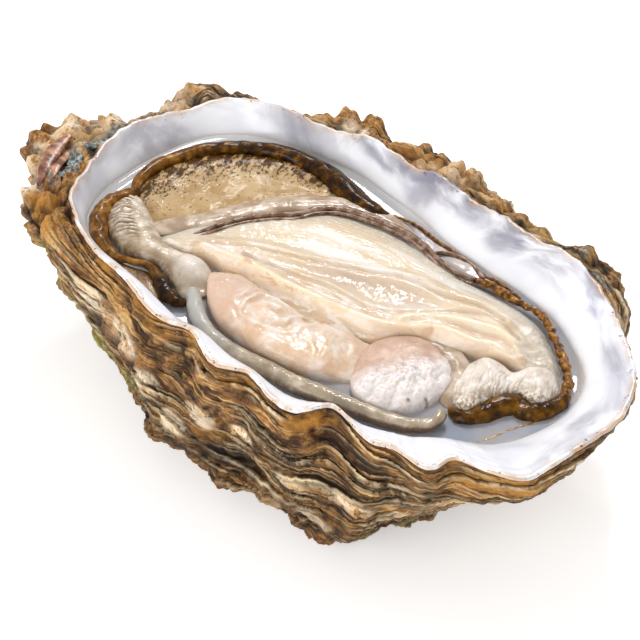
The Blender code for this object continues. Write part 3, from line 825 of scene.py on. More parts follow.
def pebbles(x, y, pitch, seed=0.0):
    """1 at the middle of each of many uneven grains, and 0 in the creases between them."""
    column, row = np.floor(x / pitch), np.floor(y / pitch)
    nearest = np.full(np.shape(x), 9.0)
    for i in (-1, 0, 1):
        for j in (-1, 0, 1):
            a, b = column + i, row + j
            jump_a = np.modf(np.abs(43758.5 * np.sin(127.1 * a + 311.7 * b + seed)))[0]
            jump_b = np.modf(np.abs(24634.6 * np.sin(269.5 * a + 183.3 * b + seed)))[0]
            gap = np.hypot(x / pitch - a - 0.1 - 0.8 * jump_a, y / pitch - b - 0.1 - 0.8 * jump_b)
            nearest = np.minimum(nearest, gap)
    return np.clip(1 - (nearest / 0.75) ** 2, 0.0, 1.0)


print("from (0, 3) to a line along X:", round(float(near(0.0, 3.0, [(-5, 0), (0, 0), (5, 0)])[0]), 2), "mm")

# %% Cushions
MEAT_BASE_Z = 27.0
FLANK_ROWS = 4


def dome(share, power):
    """1 over the middle and 0 at both ends, with rounded shoulders."""
    return np.sqrt(np.clip(1.0 - np.abs(2.0 * share - 1.0) ** power, 0.0, 1.0))


def eased(count):
    """Shares from 0 to 1 that lie closer together near both ends."""
    share = np.linspace(0.0, 1.0, count)
    return 0.45 * share + 0.55 * (0.5 - 0.5 * np.cos(math.pi * share))


def lay(x, y, z):
    """Model coordinates in metres of design coordinates in mm."""
    return np.stack([x + SHIFT[0], y + SHIFT[1], z], axis=-1) * MM


def cushion(name, side_a, side_b, crown, fall, size, power=3.5, marks=None, **where):
    """A soft closed form between two side curves. crown(x, y, u, v) is its height in mm."""
    along_count, across_count = size
    u = eased(along_count)
    a, b = (np.stack([np.interp(u * 399, np.arange(400), line[:, k]) for k in (0, 1)], axis=-1)
            for line in (curve(side_a, 400), curve(side_b, 400)))
    v = np.concatenate([eased(across_count), np.ones(FLANK_ROWS), np.zeros(FLANK_ROWS)])
    fallen = np.linspace(0.25, 1.0, FLANK_ROWS)
    drop = np.concatenate([np.zeros(across_count), fallen, fallen[::-1]])
    u, v, drop = np.broadcast_arrays(u[:, None], v[None, :], drop[None, :])
    x = a[:, :1] + (b[:, :1] - a[:, :1]) * v
    y = a[:, 1:] + (b[:, 1:] - a[:, 1:]) * v
    z = crown(x, y, u, v) - fall * (1.0 - dome(0.01 + 0.98 * u, power) * dome(v, power))
    z = z + (MEAT_BASE_Z - z) * drop
    return skin(name, lay(x, y, z), {label: rule(x, y, u, v) for label, rule in (marks or {}).items()},
                **where)


print("cushions reach down to", MEAT_BASE_Z, "mm, under the liquor")

# %% Tubes
def tube(name, path, size, flat=1.0, lumps=0.0, lump_size=1.5, beads=0.0, bead_pitch=1.0, **where):
    """A tube along (x, y, z, radius) points in mm. `flat` squeezes its height, `beads` swells it in turn."""
    along_count, around_count = size
    line = curve(path, along_count)
    centre, radius = line[:, :3], line[:, 3]
    ahead = np.gradient(centre, axis=0)
    ahead /= np.linalg.norm(ahead, axis=1, keepdims=True)
    side = np.cross(ahead, (0.0, 0.0, 1.0))
    side /= np.linalg.norm(side, axis=1, keepdims=True)
    lift = np.cross(side, ahead)
    run = np.concatenate([[0.0], np.cumsum(np.linalg.norm(np.diff(centre, axis=0), axis=1))])
    ends = np.minimum(run, run[-1] - run) / np.maximum(radius, 0.05)
    radius = radius * np.sqrt(np.clip(1 - (1 - np.clip(ends, 0.0, 1.0)) ** 2, 0.02, 1.0))
    radius = radius * (1 + beads * np.sin(2 * math.pi * run / bead_pitch))
    turn = np.arange(around_count) * 2 * math.pi / around_count
    out = side[:, None] * np.cos(turn)[:, None] + lift[:, None] * (flat * np.sin(turn))[:, None]
    ring_points = centre[:, None] + out * radius[:, None, None]
    if lumps:
        bulge = roughen(ring_points, lump_size)
        ring_points = ring_points + out * (lumps * bulge)[..., None]
    rows = (ring_points + np.array([*SHIFT, 0.0])) * MM
    print(f"{name} runs {run[-1]:.1f} mm")
    return skin(name, rows, {"around": np.sin(turn), "side": np.cos(turn),
                             "share": (run / run[-1])[:, None]}, **where)


# %% [markdown]
# ## Plates by the hinge
# Where the two shells were joined, small leftovers stick to the crust: two narrow reddish blades and
# a few grey scales. They lie on the wall like fallen leaves, so each is a very flat tube through a
# few spots that are looked up on the crust itself, by bearing and distance outside the lip.

# %% Spots on the crust
def on_crust(bearing, out, lift):
    """Design coordinates of a spot `out` mm outside the lip, `lift` mm above the crust."""
    column = int(round(bearing / 360 * SPOKES)) % SPOKES
    spots = crust_rows[:SEAM_ROW, column] / MM - np.array([*SHIFT, 0.0])
    reach = np.hypot(spots[:, 0] - CENTRE[0], spots[:, 1] - CENTRE[1])
    x, y, z = spots[int(np.argmax(reach - lip[column] > out))]
    return x, y, z + lift


print("the crust 5 mm outside the hinge lies at", [round(float(c), 1) for c in on_crust(176, 5.0, 0.0)])

# %% Blades
# Each spot of a blade is a bearing, a distance outside the lip and a half width, both in mm.
BLADES = {"hinge_blade_one": [(184, 6.6, 0.3), (180, 7.2, 1.2), (176, 7.4, 1.5), (171.5, 6.8, 0.5)],
          "hinge_blade_two": [(182, 4.6, 0.3), (179, 5.2, 0.9), (175.5, 5.6, 1.1), (172, 5.2, 0.3)]}
blades = []
for name, spots in BLADES.items():
    path = [(*on_crust(bearing, out, 0.5), size) for bearing, out, size in spots]
    blades.append(tube(name, path, (60, 20), flat=0.35, lumps=0.10, lump_size=1.5, slot="shell"))
look = Finish("hinge_blades")
bands = look.noise(look.scaled((4.0, 1.8, 4.0)), 3.0)
colour = look.ramp(bands, (0.36, tint(92, 54, 40)), (0.5, tint(150, 100, 76)), (0.64, tint(204, 160, 130)))
look.set(Base_Color=colour, Roughness=0.3, Normal=look.relief(bands, 0.2))
look.wear(*blades)

# %% Scales
SCALES = [(179, 2.6, 1.6), (175.5, 3.0, 1.8), (171.5, 2.6, 1.7), (168, 2.2, 1.5)]
scales = []
for number, (bearing, out, size) in enumerate(SCALES):
    path = [(*on_crust(bearing + turn, out, 0.05), size) for turn in (-1.5, 0.0, 1.5)]
    scales.append(tube(f"hinge_scale_{number}", path, (24, 16), flat=0.28, lumps=0.35, lump_size=0.9,
                       slot="shell"))
look = Finish("hinge_scales")
grain = look.noise(look.scaled(0.8), 4.0, 0.65)
colour = look.ramp(grain, (0.38, tint(48, 48, 44)), (0.5, tint(104, 112, 110)), (0.62, tint(190, 196, 190)))
look.set(Base_Color=colour, Roughness=0.45, Normal=look.relief(grain, 0.2))
look.wear(*scales)

# %% [markdown]
# ## Wet flesh
# Raw flesh lets light in, scatters it, and carries a film of water. So every flesh finish has some
# subsurface scattering, warm where the light comes out again, and a clear coat that is much smoother
# than the flesh below it. The film has ripples of its own, which break the lamps up into glints.
# Dark pigment would turn milky under a full film, so the dark parts carry a weaker one. Only colour,
# fine relief, film and ripple differ from part to part.

# %% Shared wet finish
WATER_IOR = 1.34
FLESH_SHADE = (0.86, 0.82, 0.82, 1.0)


def flesh(look, colour, relief_height, relief_depth=0.10, scatter=0.45, reach=1.6, wet=1.0,
          ripple=(1.9, 0.14)):
    """Makes a look wet flesh. `reach` is how far light travels inside it in mm, `wet` its film of
    water, and `ripple` the size and depth in mm of the waves on that film."""
    film = look.relief(look.noise(look.scaled(ripple[0]), 3.0), ripple[1])
    look.set(Base_Color=look.mix(1.0, colour, FLESH_SHADE, blend="MULTIPLY"), Roughness=0.38,
             Normal=look.relief(relief_height, relief_depth), Specular_IOR_Level=0.15 * wet,
             Coat_Weight=wet, Coat_Roughness=0.04, Coat_IOR=WATER_IOR, Coat_Normal=film,
             Subsurface_Weight=scatter, Subsurface_Radius=(1.0, 0.62, 0.40), Subsurface_Scale=reach * MM)
    return look


print("the film of water bends light by", WATER_IOR)

# %% [markdown]
# ## The gill leaf
# The broad leaf down the middle is the gills under their skin. Two creases and two peach-coloured
# ridges run down it from the narrow hinge end and fan out. Each is a drawn line, and the crown rises
# or dips by the distance from it. The rear margin thins out and turns grey-green, fine threads and
# broad white streaks run lengthwise, and the front, where it meets the body, is blotched.

# %% Lines of the leaf
LEAF_REAR = [
    (-35, -1.0), (-31, 1.6), (-25.4, 6.2), (-18.5, 11.5), (-12.5, 15.8), (-6.5, 19.2), (-0.5, 19.8),
    (8, 18.6), (16, 15.8), (22, 13.6), (28, 12.6), (34, 11), (38.3, 8.8), (42.2, 5), (45.6, 0.8),
    (47.4, -3.5),
]
LEAF_FRONT = [
    (-34.4, -3.0), (-28, -3.6), (-21, -3.8), (-15, -4.8), (-7.5, -7.4), (1.5, -10.2), (9, -9.8),
    (14, -8.2), (20, -4.4), (27, -4.2), (33, -2.6), (38.5, -2.6), (42.6, -3.6), (46.2, -5.6),
]
RIDGE = [
    (-22, -3), (-17, -3), (-12, -3.3), (-6, -4.4), (0, -5.2), (7, -5.8), (14, -5.8), (19, -4.5),
    (23, -2.3), (27, -2), (31, -2.1), (34, -1.4), (37, -2.6), (40, -4.4),
]
RIDGE_TWO = [(17, -3), (20, -0.8), (23.5, 0.8), (28.5, 2), (33, 2.2), (36.5, 0.8), (39.5, -1.5)]
CREASE = [
    (-24, -2), (-21, -0.6), (-16, 1.2), (-10.5, 2.2), (-5, 3), (1, 4.2), (6, 5.2), (11, 6.5), (15, 6.8),
    (21, 5.9), (27, 6.3), (33, 5),
]
CREASE_TWO = [
    (-15, -1), (-10.5, -1.2), (-4.6, -1.3), (1, -1.2), (5.5, -1.8), (11, -2.6), (15, -1.8), (19, 0.3),
    (23, 2.6), (28, 4.4), (32, 4.5), (37, 2.4),
]
print("the leaf is", LEAF_REAR[-1][0] - LEAF_REAR[0][0], "mm long")

# %% Gill leaf mesh
LEAF_Z = 32.2


def leaf_crown(x, y, u, v):
    ridge = near(x, y, RIDGE)[0]
    ridge_two = near(x, y, RIDGE_TWO)[0]
    crease, at = near(x, y, CREASE)
    crease_two = near(x, y, CREASE_TWO)[0]
    margin = near(x, y, LEAF_REAR)[0]
    grain = on_flat(x, y)
    wander = roughen(grain, 5.0)
    z = LEAF_Z + 1.7 * bump(ridge, 0, 1.4) + 1.0 * bump(ridge_two, 0, 1.1)
    z += 0.65 * bump(crease, 0.6, 1.4) - 0.40 * bump(crease, 0, 0.5) * smoothstep(at, 0.0, 0.3)
    z += 0.45 * bump(crease_two, 0.4, 1.2) - 0.34 * bump(crease_two, 0, 0.45)
    z += 0.65 * bump(v, 0.26, 0.13) * smoothstep(u, 0.1, 0.4)
    z -= 0.9 * bump(margin, 0, 1.5)
    z -= 0.8 * smoothstep(-u, -0.10, 0.0)
    strands = np.sin(2 * math.pi * (v * 34 + 1.4 * wander))
    z += 0.03 * strands * smoothstep(u, 0.12, 0.3) * (1 - bump(v, 0.55, 0.12)) * smoothstep(0.8 - v, 0.0, 0.2)
    z += 0.10 * pebbles(x, y, 0.8) * smoothstep(0.3 - v, 0.0, 0.2)
    fan_turn = np.arctan2(y + 6.0, x - 30.0) + 0.05 * wander
    z += 0.15 * np.sin(34 * fan_turn) * smoothstep(x, 35.0, 41.0)
    return z + 0.16 * wander + 0.07 * roughen(grain + 9.0, 1.0)


def by(line, middle, width):
    """A mark that is 1 at `middle` mm from a drawn line and fades over `width` mm."""
    return lambda x, y, u, v: bump(near(x, y, line)[0], middle, width)


def either_line(line, width, other, other_width, other_share):
    """A mark along two drawn lines at once."""
    return lambda x, y, u, v: np.maximum(bump(near(x, y, line)[0], 0, width),
                                         other_share * bump(near(x, y, other)[0], 0, other_width))


def band_mark(x, y, u, v):
    """The dull band in the middle of the leaf."""
    return bump((y - 2.2 - 0.05 * x) / 3.2, 0, 0.8) * smoothstep(x, -8, 4) * smoothstep(-x, -24, -12)


def hollow_mark(x, y, u, v):
    """The hollow between the ridge and the leaf's front edge."""
    return smoothstep(2.6 - near(x, y, RIDGE)[0], 0.0, 1.4) * smoothstep(v, 0.86, 0.97)


leaf_marks = {
    "margin": by(LEAF_REAR, 0.5, 3.4), "ridge_side_shade": by(RIDGE, 2.5, 0.7),
    "band": band_mark, "hollow": hollow_mark,
    "ridge": either_line(RIDGE, 1.5, RIDGE_TWO, 1.3, 0.8),
    "crease": either_line(CREASE, 0.5, CREASE_TWO, 0.5, 1.0),
    "fan": lambda x, y, u, v: smoothstep(x, 33.0, 42.0),
    "length": lambda x, y, u, v: 75.0 * u, "width": lambda x, y, u, v: 24.0 * v,
}
leaf = cushion("gill_leaf", LEAF_REAR, LEAF_FRONT, leaf_crown, 1.7, (270, 130), marks=leaf_marks,
               slot="gill_leaf", stands_for=["gills"])

# %% Gill leaf finish
look = Finish("gill_leaf")
fine = look.noise(look.scaled(0.7), 4.0, 0.65)
colour = look.mix(look.broken(7.0, 0.4, 0.6), tint(236, 220, 192), tint(226, 206, 172))
threads = look.noise(look.by_marks("length", 9.0, "width", 0.42), 4.0, 0.6)
colour = look.over(colour, tint(252, 244, 230), look.between(threads, 0.40, 0.66), 0.28)
streaks = look.noise(look.by_marks("length", 22.0, "width", 3.2), 3.0, 0.55, 0.3)
colour = look.over(colour, tint(255, 253, 246), look.between(streaks, 0.50, 0.62), 0.75)
colour = look.over(colour, tint(204, 181, 156), look.mark("band"), 0.85)
# Painted shade: the flesh just beside the ridges is painted darker tan, where the ridges shade it.
colour = look.over(colour, tint(212, 178, 144), look.mark("ridge_side_shade"), 0.55)
colour = look.over(colour, tint(255, 240, 206), look.mark("ridge"), 0.9)
edge = look.mix(look.between(fine, 0.42, 0.6), tint(172, 178, 170), tint(204, 200, 186))
colour = look.over(colour, edge, look.mark("margin"), 0.85)
print("the leaf's rear uses", len(look.nodes), "nodes")

# %% Blotches and fan of the leaf
blots = look.noise(look.scaled((4.2, 2.0, 2.0)), 4.0, 0.6, 0.6)
in_front = look.between(look.mark("width"), 15.5, 19.0)
colour = look.over(colour, tint(255, 246, 232), in_front, look.between(blots, 0.50, 0.62))
colour = look.over(colour, tint(230, 196, 160), in_front, look.between(blots, 0.46, 0.34))
behind = look.between(look.mark("width"), 10.0, 3.0)
colour = look.over(colour, tint(250, 246, 236), look.broken(0.55, 0.56, 0.66, 3.0, 0.6), behind, 0.6)
pale = look.mix(look.between(fine, 0.45, 0.6), tint(200, 190, 170), tint(236, 226, 208))
colour = look.over(colour, pale, look.mark("fan"), 0.6)
# Painted shade: the creases are painted a darker tan.
colour = look.over(colour, tint(180, 150, 120), look.mark("crease"), 0.22)
colour = look.over(colour, tint(246, 222, 192), look.mark("hollow"), 0.45)
dots = look.between(look.cells(look.scaled(1.3)), 0.16, 0.06)
colour = look.over(colour, tint(150, 124, 92), dots, 0.35)
flesh(look, colour, fine, 0.10).wear(leaf)

# %% [markdown]
# ## The rear margin of the leaf
# Where the two mantle skins part, their edges show as a pair of thin brown-grey cords along the rear
# of the leaf, and towards the bill as one golden-brown beaded rim. They are tubes on the margin.

# %% Rear cords
REAR_LINE = [
    (-28.0, -1.6, 31.0, 0.25), (-24, 3, 32.2, 0.4), (-20.5, 7.6, 32.3, 0.5), (-17, 10.6, 32.4, 0.55),
    (-12.2, 13.6, 32.4, 0.55), (-9.8, 16.4, 32.5, 0.6), (-6, 18.4, 32.5, 0.6), (-1, 18.9, 32.5, 0.65),
    (4, 18.7, 32.4, 0.65), (8.3, 18.1, 32.2, 0.65), (12, 16.8, 32.0, 0.6), (15, 15.2, 31.8, 0.5),
    (18.5, 13.9, 31.6, 0.45), (23, 13.6, 31.4, 0.4),
]
REAR_LINE_TWO = [(x + 0.35, y - 1.05, z - 0.15, r * 0.6) for x, y, z, r in REAR_LINE]
LENS_RIM = [
    (13.4, 16.6, 31.2, 0.35), (15, 18.2, 30.9, 0.45), (18, 18.4, 30.8, 0.55), (21.4, 17.2, 30.8, 0.5),
    (24.2, 15.2, 30.9, 0.45),
]
rims = [
    tube("rim_rear_outer", REAR_LINE, (240, 18), flat=0.8, lumps=0.12, lump_size=1.1, slot="mantle"),
    tube("rim_rear_inner", REAR_LINE_TWO, (240, 12), flat=0.8, lumps=0.08, lump_size=0.9, slot="mantle"),
    tube("rim_lens", LENS_RIM, (80, 14), flat=0.8, lumps=0.08, lump_size=0.9, slot="mantle"),
]
look = Finish("mantle_rim")
mottle = look.noise(look.scaled(1.4), 4.0, 0.6)
colour = look.ramp(mottle, (0.34, tint(84, 52, 28)), (0.5, tint(128, 98, 72)), (0.64, tint(176, 154, 136)))
flesh(look, colour, mottle, 0.15, scatter=0.15, reach=0.6, wet=0.7).wear(*rims)

# %% Golden rim
GOLD_RIM = [
    (22.5, 14.2, 31.0, 0.5), (27, 13.7, 31.2, 0.7), (30.4, 12.6, 31.3, 0.75), (33.3, 12.1, 31.2, 0.7),
    (36, 11.6, 31.2, 0.65), (38.4, 10.2, 31.2, 0.7), (40.9, 7.8, 31.2, 0.8), (43.4, 5, 31.1, 0.75),
    (45.9, 2, 31.0, 0.8), (48, -1.2, 31.0, 0.85), (49, -4.6, 30.8, 0.9), (48.8, -7.4, 30.5, 0.9),
]
gold = tube("rim_gold", GOLD_RIM, (300, 26), flat=0.85, lumps=0.42, lump_size=1.25,
            beads=0.05, bead_pitch=1.9, slot="mantle")
gold_look = Finish("gold_rim")
mottle = gold_look.noise(gold_look.scaled(0.9), 4.0, 0.6)
colour = gold_look.ramp(mottle, (0.34, tint(62, 34, 0)), (0.50, tint(122, 76, 8)), (0.68, tint(196, 142, 60)))
flesh(gold_look, colour, mottle, 0.18, scatter=0.15, reach=0.6, wet=0.6).wear(gold)

# %% [markdown]
# ## Film behind the leaf
# Between the rear cords and the lining a lilac film of mantle lies just over the liquor, with one
# swollen bubble where the cords fork. A cushion with hardly any height makes it, and a hair-thin
# golden tube marks where it wets the shell.

# %% Film and its wet edge
FILM_REAR = [
    (2.0, 23.2), (6.0, 23.0), (9.5, 21.9), (12.5, 20.6), (16, 19.6), (20, 18), (23.5, 16.4), (27, 15.8),
    (32, 13.8),
]
FILM_FRONT = [
    (3, 21.2), (5.5, 20.4), (8.5, 18.8), (11.8, 17.4), (15, 16.2), (18.5, 14.8), (22.5, 14.2),
    (27, 13.8), (31.6, 12.8),
]


def from_bubble(x, y):
    """Distance from the middle of the long bubble in the film."""
    return np.hypot((x - 19.0) / 1.9, y - 16.2)


def film_crown(x, y, u, v):
    z = 30.3 + 0.25 * bump(v, 0.0, 0.3) + 0.9 * bump(from_bubble(x, y), 0, 2.2)
    return z + 0.12 * roughen(on_flat(x, y), 2.0)


film = cushion("mantle_film", FILM_REAR, FILM_FRONT, film_crown, 0.5, (140, 34),
               marks={"bubble": lambda x, y, u, v: bump(from_bubble(x, y), 0, 2.4)}, slot="mantle")
look = Finish("lilac_film")
soft = look.noise(look.scaled(2.6), 4.0)
colour = look.ramp(soft, (0.36, tint(158, 150, 158)), (0.52, tint(190, 180, 184)),
                   (0.66, tint(216, 204, 198)))
colour = look.over(colour, tint(214, 208, 196), look.mark("bubble"), 0.7)
flesh(look, colour, soft, 0.10).wear(film)
wet_edge = tube("mantle_film_edge", [(x, y, 30.6, 0.34) for x, y in FILM_REAR], (200, 12),
                lumps=0.14, lump_size=0.7, slot="mantle")
gold_look.wear(wet_edge)

# %% [markdown]
# ## The body
# In front of the leaf lies the soft body, peach and ivory, with glossy swirled wrinkles whose crests
# are painted near white as painted highlights. The swirl is a spiral wave about one spot that dies
# away outwards, and a few slow lumps soften the rest.

# %% Body mesh
BODY_REAR = [(-18.5, -6), (-13, -5), (-7.5, -6.6), (1.5, -9.2), (8, -8.8), (16, -8.4)]
BODY_FRONT = [
    (-17.6, -9.6), (-15.4, -13.2), (-11.8, -16.6), (-5, -19.2), (2, -20.8), (9, -20.6), (16.4, -18),
]
BODY_Z = 33.4
SWIRL = (-2.0, -12.0)


def swirls(x, y):
    """Waves from -1 to 1: a spiral on the left and cross wrinkles towards the muscle."""
    out = np.hypot(x - SWIRL[0], 1.25 * (y - SWIRL[1]))
    turn = np.arctan2(y - SWIRL[1], x - SWIRL[0])
    bend = roughen(on_flat(x, y), 4.5)
    curl = roughen(on_flat(x, y) + (0.0, 0.0, 11.0), 2.4)
    spiral = np.sin(2 * math.pi * out / 2.9 - turn + 4.5 * bend + 1.5 * curl) * bump(out, 3.2, 3.8)
    crossed = np.sin((x + 0.6 * y) * 2 * math.pi / 4.2 + 7.0 * bend) * smoothstep(x, 3.0, 7.0)
    return spiral + 0.25 * crossed


def body_crown(x, y, u, v):
    grain = on_flat(x, y)
    z = BODY_Z + 0.9 * bump(u, 0.40, 0.4) + 0.36 * swirls(x, y) + 0.45 * roughen(grain, 4.5)
    z -= 0.7 * bump(v, 0.0, 0.3) + 0.9 * smoothstep(x, 9.0, 15.0)
    return z + 0.10 * roughen(grain + 5.0, 1.0)


body = cushion("body_meat", BODY_REAR, BODY_FRONT, body_crown, 2.3, (170, 90), power=2.6,
               marks={"swirl_highlight": lambda x, y, u, v: smoothstep(swirls(x, y), 0.15, 0.8),
                      "dot": lambda x, y, u, v: bump(np.hypot(x - 3.0, y + 11.0), 0.35, 0.3),
                      "left": lambda x, y, u, v: smoothstep(-x, 2.0, 14.0)},
               slot="body_meat", stands_for=["visceral_mass"])

# %% Body finish
look = Finish("body_meat")
soft = look.noise(look.scaled(4.0), 4.0, 0.6, 0.8)
fine = look.noise(look.scaled(0.8), 4.0, 0.65)
colour = look.ramp(soft, (0.36, tint(230, 200, 166)), (0.5, tint(238, 216, 190)), (0.64, tint(250, 240, 226)))
colour = look.over(colour, tint(220, 186, 164), look.mark("left"), 0.6)
# Painted highlight: the crests of the swirl wrinkles are painted near white.
colour = look.over(colour, tint(248, 242, 234), look.mark("swirl_highlight"), look.broken(1.4, 0.42, 0.58), 0.8)
colour = look.over(colour, tint(166, 110, 70), look.mark("dot"), 0.8)
flesh(look, colour, look.plus(fine, soft), 0.18).wear(body)

# %% [markdown]
# ## The muscle
# The round column is the muscle that held both shells, cut through when the oyster was opened. Its
# upper left is smooth and pinkish, and towards the bill its fibres stand up as a white froth. It is
# turned like a low pot: rings of points with a radius and a height, with the froth as real grains.

# %% Muscle crown
MUSCLE_AT = (22.5, -13.1)
MUSCLE_RADII = (8.3, 9.2)
MUSCLE_ROWS = 90
MUSCLE_AROUND = 200
MUSCLE_Z = 32.9
MUSCLE_SIDE = ((30.6, 1.02), (29.4, 1.01), (28.2, 0.98), (MEAT_BASE_Z, 0.94))
MUSCLE_SPOTS = ((27.2, -19.6), (29.4, -17.4))

turn = np.arange(MUSCLE_AROUND) * 2 * math.pi / MUSCLE_AROUND
wobble = 1 + 0.03 * np.sin(3 * turn + 1) + 0.02 * np.sin(5 * turn)


def muscle_ring(share):
    """Design coordinates round the muscle, at a share of its outer radius."""
    x = MUSCLE_AT[0] + MUSCLE_RADII[0] * share * wobble * np.cos(turn)
    return x, MUSCLE_AT[1] + MUSCLE_RADII[1] * share * wobble * np.sin(turn)


share = eased(MUSCLE_ROWS)[::-1][:, None]
x, y = muscle_ring(share)
towards_bill = (x - MUSCLE_AT[0]) * 0.62 - (y - MUSCLE_AT[1]) * 0.62
froth = smoothstep(towards_bill + 1.8 * roughen(on_flat(x, y), 2.0), -2.4, 2.2)
inside = 1 - 0.8 * smoothstep(share, 0.55, 0.9)
clots = 0.55 * pebbles(x, y, 0.95) * inside + 0.9 * pebbles(x, y, 2.7, 4.0) ** 0.8 - 0.35
z = MUSCLE_Z - 1.9 * share**5 + froth * clots + 0.12 * roughen(on_flat(x, y) + 8.0, 3.0)
spots = np.max([bump(np.hypot(x - a, y - b), 0, 0.3) for a, b in MUSCLE_SPOTS], axis=0)
print("the froth covers", round(100 * float(froth.mean())), "% of the cut")

# %% Muscle mesh and finish
side_z, side_share = np.array(MUSCLE_SIDE).T[:, :, None]
sx, sy = muscle_ring(side_share)
sz = np.broadcast_to(side_z, sx.shape)
x, y, z = (np.concatenate([side[::-1], cut]) for side, cut in ((sx, x), (sy, y), (sz, z)))
froth, spots = (np.concatenate([np.broadcast_to(mark[0], sx.shape), mark]) for mark in (froth, spots))
muscle = skin("muscle", lay(x, y, z), {"froth": froth, "spots": spots}, slot="muscle",
              stands_for=["adductor_muscle"])
look = Finish("muscle")
soft = look.noise(look.scaled(3.0), 4.0, 0.6)
fine = look.noise(look.scaled(0.55), 4.0, 0.7)
pink = look.ramp(soft, (0.38, tint(200, 164, 140)), (0.6, tint(220, 190, 168)))
white = look.ramp(fine, (0.36, tint(240, 224, 212)), (0.52, tint(255, 254, 252)))
colour = look.mix(look.mark("froth"), pink, white)
colour = look.mix(look.mark("spots"), colour, tint(96, 62, 28))
flesh(look, colour, fine, 0.10, scatter=0.35, reach=0.8, ripple=(0.8, 0.18)).wear(muscle)

# %% [markdown]
# ## The rear mantle
# Behind the leaf the mantle lies back as a cream panel. Its far edge is a thick, dark, wet roll, and
# its brown pigment runs down the panel, first as a wash and then in specks that thin out. In front
# of it runs a pale smooth ledge. Panel, roll and ledge are three pieces.

# %% Rear panel
PANEL_REAR = [
    (-41.5, 6), (-42.6, 12), (-40.6, 17.6), (-36.6, 22.6), (-31, 26.4), (-24, 28.2), (-17, 27.8),
    (-10, 25.6), (-4, 23.4), (1, 22.2),
]
PANEL_FRONT = [
    (-34, 0.2), (-29.5, 3), (-25.8, 6), (-20.4, 12), (-14, 17), (-7.8, 20.2), (-1.8, 21.2), (1.6, 21.8),
]


def panel_crown(x, y, u, v):
    return 31.0 + 0.4 * bump(v, 0.05, 0.25) - 0.35 * bump(v, 0.6, 0.3) + 0.12 * roughen(on_flat(x, y), 3.0)


def pigment_mark(x, y, u, v):
    """1 along the rear edge of the panel, fading forwards, further at the bill end."""
    return np.clip(1 - v / (0.55 + 0.5 * smoothstep(u, 0.5, 1.0)), 0, 1)


panel = cushion("mantle_back_panel", PANEL_REAR, PANEL_FRONT, panel_crown, 1.0, (200, 90),
                marks={"pigment": pigment_mark}, slot="mantle", stands_for=["mantle_back"])
look = Finish("mantle_panel")
soft = look.noise(look.scaled(6.0), 3.0)
colour = look.ramp(soft, (0.36, tint(176, 146, 98)), (0.62, tint(206, 180, 136)))
streaks = look.broken((1.3, 3.4, 3.0), 0.36, 0.62, 4.0, 0.65)
amount = look.times(look.mark("pigment"), look.plus(0.35, streaks))
colour = look.over(colour, tint(118, 83, 32), look.between(amount, 0.10, 1.0), 0.85)
grit = look.plus(look.times(amount, 0.30), look.noise(look.scaled((0.55, 0.8, 0.7)), 3.0, 0.7))
colour = look.over(colour, tint(66, 38, 2), look.between(grit, 0.60, 0.70), 0.9)
flesh(look, colour, soft, 0.03, scatter=0.2, reach=0.4, wet=0.3).wear(panel)

# %% Dark roll
ROLL = [
    (-41.6, 5.2, 30.9, 0.7), (-43.2, 9, 31.0, 1.0), (-42.8, 13, 31.2, 1.2), (-40.6, 17.8, 31.3, 1.3),
    (-37.4, 22, 31.4, 1.35), (-33.4, 25.2, 31.4, 1.45), (-28.6, 27.3, 31.4, 1.5),
    (-23.4, 28.6, 31.4, 1.6), (-18, 28.4, 31.3, 1.75), (-12.6, 26.8, 31.3, 2.0),
    (-7.6, 24.4, 31.2, 2.15), (-3.4, 22.8, 31.0, 1.9), (0.2, 22.2, 30.8, 1.3), (2.2, 22.2, 30.6, 0.7),
]
roll = tube("mantle_back_roll", ROLL, (360, 40), flat=0.85, lumps=0.20, lump_size=2.1, slot="mantle")
look = Finish("mantle_roll")
mottle = look.noise(look.scaled(2.0), 5.0, 0.65)
colour = look.ramp(mottle, (0.38, tint(26, 13, 0)), (0.52, tint(66, 38, 2)), (0.68, tint(132, 88, 20)))
left = look.ramp(mottle, (0.36, tint(78, 44, 4)), (0.55, tint(136, 90, 22)), (0.7, tint(190, 146, 74)))
colour = look.mix(look.between(look.mark("share"), 0.45, 0.15), colour, left)
flesh(look, colour, mottle, 0.25, scatter=0.1, reach=0.6, wet=0.4).wear(roll)

# %% Pale ledge
LEDGE = [
    (-37.0, -3.6, 30.6, 1.2), (-31.6, 0.4, 31.2, 2.0), (-26.4, 5.0, 31.3, 2.2), (-22, 10.4, 31.2, 2.0),
    (-17.6, 14.6, 31.3, 2.1), (-12.2, 18.2, 31.3, 2.1), (-7, 20.8, 31.3, 1.9), (-1, 21.6, 31.1, 1.6),
    (4, 21, 30.8, 1.3), (8, 19.8, 30.5, 0.9),
]
ledge = tube("mantle_back_ledge", LEDGE, (220, 30), flat=0.38, lumps=0.14, lump_size=2.6, slot="mantle")
ledge_look = Finish("pale_ledge")
soft = ledge_look.noise(ledge_look.scaled(3.0), 3.0)
colour = ledge_look.ramp(soft, (0.4, tint(172, 150, 124)), (0.6, tint(212, 196, 176)))
flesh(ledge_look, colour, soft, 0.08, wet=0.6).wear(ledge)

# %% [markdown]
# ## The left lobe
# Near the hinge the mantle folds into a grey-white lobe with a comb of short fringes on its outer
# shoulder and a soft bulb at its inner end. Its free edge is mottled brown, darkest at the front
# end, and in front of it a scrap of tan film fills the pocket beside the lining. The lobe and the
# film are cushions, and the edge is a tube.

